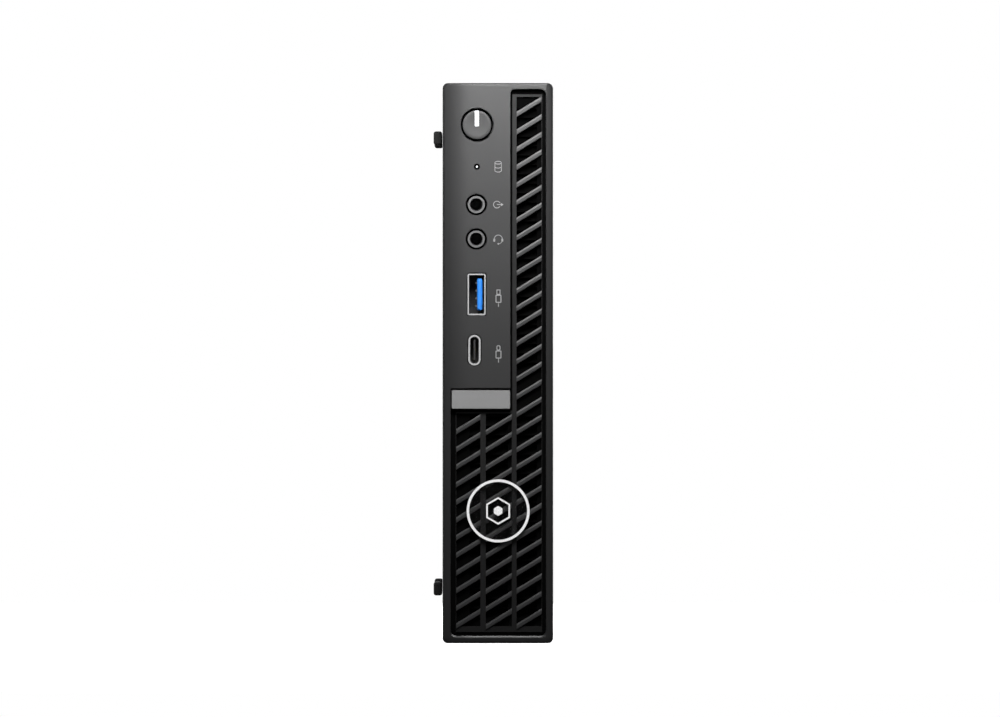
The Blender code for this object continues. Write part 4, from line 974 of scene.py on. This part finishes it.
def rear_network():
    """The network socket, with its latch's notch, eight wires and two lamps."""
    low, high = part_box("network_port")
    across, up = centre(low, high)
    across += 0.6 * MM

    def outline(inset):
        left, right = across - 4.2 * MM + inset, across + 4.2 * MM - inset
        bottom, top = up - 5.9 * MM + inset, up + 5.9 * MM - inset
        latch, reach = left - 2.4 * MM, 3.0 * MM - inset
        notch = [(left, up + reach), (latch, up + reach), (latch, up - reach), (left, up - reach)]
        return [(left, bottom), (right, bottom), (right, top), (left, top), *notch]

    back = rear_shell("network_port", [outline(0.0)])
    lining("network_port", outline, back)
    sides = (across + 2.3 * MM, across + 2.7 * MM, back - 10.5 * MM, back - 3.0 * MM)
    wires = [strip(*sides, up + (index - 3.5) * 1.02 * MM, 0.2 * MM) for index in range(8)]
    fit("network_wires", merged(wires), GOLD, "port_metal", smooth=False)
    size = (1.5 * MM, 2.4 * MM, 0.2 * MM, 3)
    windows = [box_round(low.x + 1.3 * MM, up + rise * MM, *size) for rise in (-6, 6)]
    lamps = [slab([window], back - 1 * MM, back + 0.05 * MM) for window in windows]
    fit("network_lamps", merged(lamps), LAMP, "light_pipe")


def rear_power():
    """The power inlet: a round hollow with a metal sleeve and a pin in its middle."""
    across, up = centre(*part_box("power_inlet"))
    depth = 10.0 * MM
    back = rear_shell("power_inlet", [ring(across, up, 3.4 * MM, 40)], depth, CHIP, "port_plastic")
    rows = ((back - depth - 0.1 * MM, 0.62), (back - 1.7 * MM, 0.62), (back - 1.4 * MM, 0.35))
    middle = loft([(y, ring(across, up, radius * MM, 20)) for y, radius in rows])
    fit("power_inlet_pin", middle, PLATED, "port_metal")
    near, far = back - 0.8 * MM, back - 9.8 * MM
    wall = sleeve(lambda size: ring(across, up, size, 40), 3.38 * MM, 3.1 * MM, near, far)
    fit("power_inlet_sleeve", wall, PLATED, "port_metal")


# ---------------- printed signs


def arc(x, z, wide, tall, start=0.0, end=360.0, steps=40, line=SIGN_LINE):
    """A band along an ellipse: one outline or, for a full turn, an outline and its hole."""
    full = end - start >= 360.0
    count = steps if full else steps + 1
    angles = [math.radians(start + (end - start) * step / steps) for step in range(count)]
    outside, inside = (
        [(x + (wide + grow) * math.cos(a), z + (tall + grow) * math.sin(a)) for a in angles]
        for grow in (line / 2, -line / 2)
    )
    return [outside, inside] if full else [outside + inside[::-1]]


def bar(x1, z1, x2, z2):
    """A straight stroke between two points."""
    along = Vector((x2 - x1, z2 - z1)).normalized() * SIGN_LINE / 2
    ax, az = -along.y, along.x
    return [[(x1 + ax, z1 + az), (x1 - ax, z1 - az), (x2 - ax, z2 - az), (x2 + ax, z2 + az)]]


def sign(name, *shapes):
    """A printed sign, each of whose shapes is a list of outlines."""
    meshes = [slab(outlines, FRONT - 0.012 * MM, FRONT + 0.02 * MM) for outlines in shapes]
    fit(name, merged(meshes), PRINT, "bezel_plastic", smooth=False)


def pictograms():
    """Small signs beside the lights and ports: a drive, sound out, a headset and two plugs."""
    x, z = 0.1 * MM, LED_Z
    wide, tall, flat = 1.05 * MM, 1.3 * MM, 0.45 * MM
    sign(
        "sign_drive",
        arc(x, z + tall, wide, flat, steps=32),
        bar(x - wide, z + tall, x - wide, z - tall),
        bar(x + wide, z + tall, x + wide, z - tall),
        arc(x, z - tall, wide, flat, 180, 360, 16),
        arc(x, z, wide, flat, 180, 360, 16),
    )
    heights = [height for height, _ in JACKS]
    x, z = -0.3 * MM, max(heights)
    sign(
        "sign_sound_out",
        arc(x, z, 1.1 * MM, 1.1 * MM, 30, 330),
        bar(x, z, x + 1.5 * MM, z),
        [[(x + 1.3 * MM, z - 0.55 * MM), (x + 2.1 * MM, z), (x + 1.3 * MM, z + 0.55 * MM)]],
    )
    x, z = 0.15 * MM, min(heights)
    sign(
        "sign_headset",
        arc(x, z, 1.3 * MM, 1.3 * MM, -20, 200),
        [box_round(x - 1.3 * MM, z - 0.35 * MM, 0.6 * MM, 1.0 * MM, 0.2 * MM, 4)],
        [box_round(x + 1.3 * MM, z - 0.35 * MM, 0.6 * MM, 1.0 * MM, 0.2 * MM, 4)],
        arc(x, z - 0.3 * MM, 1.25 * MM, 1.25 * MM, 275, 340, line=0.8 * SIGN_LINE),
        [ring(x, z - 1.55 * MM, 0.28 * MM, 16)],
    )
    for name, port, corner in (("sign_wide_plug", USB_A, 0.15 * MM), ("sign_round_plug", USB_C, 0.55 * MM)):
        x, z = 0.2 * MM, centre(*port)[1]
        body, body_hole = (1.9 * MM, 2.6 * MM, 0.3 * MM, 4), (1.3 * MM, 2.0 * MM, 0.1 * MM, 4)
        inner_corner = max(0.05 * MM, corner - 0.25 * MM)
        tip, tip_hole = (1.3 * MM, 1.7 * MM, corner, 6), (0.75 * MM, 1.15 * MM, inner_corner, 6)
        sign(
            name,
            [box_round(x, z - 1.4 * MM, *size) for size in (body, body_hole)],
            [box_round(x, z + 0.75 * MM, *size) for size in (tip, tip_hole)],
            bar(x, z - 2.6 * MM, x, z - 4.0 * MM),
        )


# ---------------- case and inner parts

FINISHES = {
    "case_steel": PAINT,
    "rubber": RUBBER,
    "circuit_board": BOARD,
    "component_black": CHIP,
    "aluminium": ALUMINIUM,
    "steel": PLATED,
    "port_metal": STEEL_PORT,
    "port_plastic": PORT_BLACK,
    "bezel_plastic": BEZEL,
    "grille_plastic": GRILLE,
    "silver_trim": SILVER,
    "smoked_clear": SMOKE,
    "light_pipe": LIGHT_BAR,
    "blue_plastic": BLUE,
}
EDGE_WIDTHS = {
    "chassis_tray": 0.3 * MM,
    "side_cover": 0.5 * MM,
    "thumbscrew": 0.18 * MM,
    "thumbscrew_washer": 0.12 * MM,
    "data_drive": 0.3 * MM,
    "heat_sink": 0.1 * MM,
    "blower_housing": 0.4 * MM,
}
KEPT_SHARP = ("fan_rotor", "aerial_lead", "fan_lead")


def case_shell(node_name, body_name):
    """A case part with its long corners rounded to meet the bezel's."""
    node = frame["nodes"][node_name]
    shape = bmesh.new()
    shape.from_mesh(node.data)
    shape.transform(node.matrix_world)
    bmesh.ops.remove_doubles(shape, verts=shape.verts, dist=0.001 * MM)
    shell = add(node_name + "_shell", mesh_from(shape), PAINT)
    room = rounded(LEFT, RIGHT, 0.0, HEIGHT, CASE_CORNER, 6)
    carve(shell, [loft([(FRONT - 1 * MM, room), (TRAY_HIGH.y + 10 * MM, room)])], "INTERSECT")
    shell.data.materials.clear()
    shell.data.materials.append(PAINT)
    shade(shell.data, 30)
    soften(shell, EDGE_WIDTHS[node_name], 2, 40)
    weigh_normals(shell)
    place(shell, body_name, "case_steel", node_name)


def seam_strips():
    """The tray's bent lips under the cover's two long seams, which keep light out."""
    wall, near, far = 1.0 * MM, 0.05 * MM, 0.35 * MM
    left, right = 6.5 * MM, 9.8 * MM
    front, back = TRAY_LOW.y + 6.0 * MM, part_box("motherboard")[1].y
    levels = ((wall + near, wall + far), (HEIGHT - wall - far, HEIGHT - wall - near))
    strips = [brick((left, front, low), (right, back, high)) for low, high in levels]
    fit("seam_lips", merged(strips), PAINT, "case_steel")


def carried_over():
    """Every CAD node that stays gets the finish of its slot, and all but those kept sharp get slightly
    rounded edges.
    """
    slots = {row["node"]: row["material_slot"] for row in frame["record"]["subparts"]}
    for name, node in frame["nodes"].items():
        if node.hide_render:
            continue
        node.data.materials.clear()
        node.data.materials.append(FINISHES[slots[name]])
        if name in KEPT_SHARP:
            continue
        node.modifiers.new("weld", "WELD").merge_threshold = 0.001 * MM
        soften(node, EDGE_WIDTHS.get(name, 0.15 * MM), 2, 40)
        weigh_normals(node)


# ---------------- studio

CAMERA_LENS = 1000.0
CAMERA_SENSOR = 36.0
PICTURE_WIDTH = 324.8 * MM
FLOOR_RADIUS = 1.4
FLOOR_GLOW = 0.85
WORLD_LIGHT, WORLD_SEEN = 0.08, 1.0
WHITE = (1.0, 1.0, 1.0, 1.0)

# Each light: name, place, what it faces, width and height in metres, watts and spread in degrees.
LIGHTS = (
    ("key_over_front", (0.0, FRONT - 0.25, 0.285), (0.0, FRONT, 0.19), 0.1, 0.12, 0.42, 92),
    ("card_before_camera", (0.0, FRONT - 3.9, 0.1), (0.0, FRONT, 0.09), 0.72, 0.72, 1.85, 180),
    ("overhead", (0.0, 0.3, 1.3), (0.0, 0.1, 0.0), 1.2, 1.2, 5.0, 180),
    ("side_right", (0.65, 0.9, 0.45), (0.0, 0.0, 0.09), 0.7, 0.9, 13.0, 180),
    ("side_left", (-0.65, 0.9, 0.4), (0.0, 0.0, 0.09), 0.7, 0.9, 12.0, 180),
    ("behind", (0.25, 1.0, 0.6), (0.0, 0.0, 0.09), 0.8, 0.8, 10.0, 180),
)


def studio():
    """A camera far off with a long lens, a white floor, a white surround and soft lights."""
    camera = bpy.data.objects.new("camera", bpy.data.cameras.new("camera"))
    bpy.context.scene.collection.objects.link(camera)
    camera.data.lens = CAMERA_LENS
    camera.data.sensor_width = CAMERA_SENSOR
    camera.data.clip_end = 20.0
    distance = PICTURE_WIDTH * CAMERA_LENS / CAMERA_SENSOR
    camera.location = (0.7 * MM, FRONT - distance, 92.5 * MM)
    camera.rotation_euler = (math.pi / 2, 0, 0)
    bpy.context.scene.camera = camera
    floor()
    world()
    for row in LIGHTS:
        lamp = light(*row)
        lamp.visible_camera = row[0] != "card_before_camera"
    view = bpy.context.scene.view_settings
    view.view_transform = "Standard"
    view.look = "None"


def light(name, where, towards, width, height, power, spread_degrees):
    """A flat rectangular light that faces a point."""
    data = bpy.data.lights.new(name, "AREA")
    data.shape = "RECTANGLE"
    data.size = width
    data.size_y = height
    data.energy = power
    data.spread = math.radians(spread_degrees)
    lamp = bpy.data.objects.new(name, data)
    bpy.context.scene.collection.objects.link(lamp)
    lamp.location = where
    lamp.rotation_euler = (Vector(towards) - Vector(where)).to_track_quat("-Z", "Y").to_euler()
    return lamp


def floor():
    """A plain white floor, which hardly lights the object."""
    shape = bmesh.new()
    bmesh.ops.create_circle(shape, cap_ends=True, segments=96, radius=FLOOR_RADIUS)
    made, tree, shader = new_material("floor_white")
    pale = blend_colours(tree, noise(tree, 6.0, 3.0), (0.9, 0.9, 0.9), (0.93, 0.93, 0.93))
    tree.links.new(pale, shader.inputs["Base Color"])
    shader.inputs["Roughness"].default_value = 0.9
    shader.inputs["Specular IOR Level"].default_value = 0.1
    shader.inputs["Emission Color"].default_value = WHITE
    shader.inputs["Emission Strength"].default_value = FLOOR_GLOW
    ground = add("floor", mesh_from(shape), made, smooth=False)
    ground.location.z = min(CAD_BOX[0].z, 0.0) - 0.02 * MM
    ground.visible_diffuse = False
    ground.visible_glossy = False


def world():
    """White where the camera looks past the object, and a soft dim studio for the light."""
    made = bpy.data.worlds.new("studio")
    made.use_nodes = True
    bpy.context.scene.world = made
    tree = made.node_tree
    tree.nodes.clear()
    path = tree.nodes.new("ShaderNodeLightPath")
    mix = tree.nodes.new("ShaderNodeMixShader")
    out = tree.nodes.new("ShaderNodeOutputWorld")
    tree.links.new(path.outputs["Is Camera Ray"], mix.inputs["Fac"])
    for socket, strength in ((1, WORLD_LIGHT), (2, WORLD_SEEN)):
        white = tree.nodes.new("ShaderNodeBackground")
        white.inputs["Color"].default_value = WHITE
        white.inputs["Strength"].default_value = strength
        tree.links.new(white.outputs[0], mix.inputs[socket])
    tree.links.new(mix.outputs[0], out.inputs["Surface"])


# ---------------- the object

bezel()
grille()
painted_shade_liner()
collars()
name_plate()
badge()
power_button()
activity_light()
jacks()
usb_a()
usb_c()
pictograms()
rear_power()
rear_network()
rear_usb("rear_usb_stack_upper", BLUE, "blue_plastic")
rear_usb("rear_usb_stack_lower", PORT_BLACK, "port_plastic")
rear_video("display_port_upper", False)
rear_video("display_port_lower", False)
rear_video("video_port", True)
seam_strips()
case_shell("chassis_tray", "chassis")
case_shell("side_cover", "side_cover")
carried_over()
studio()
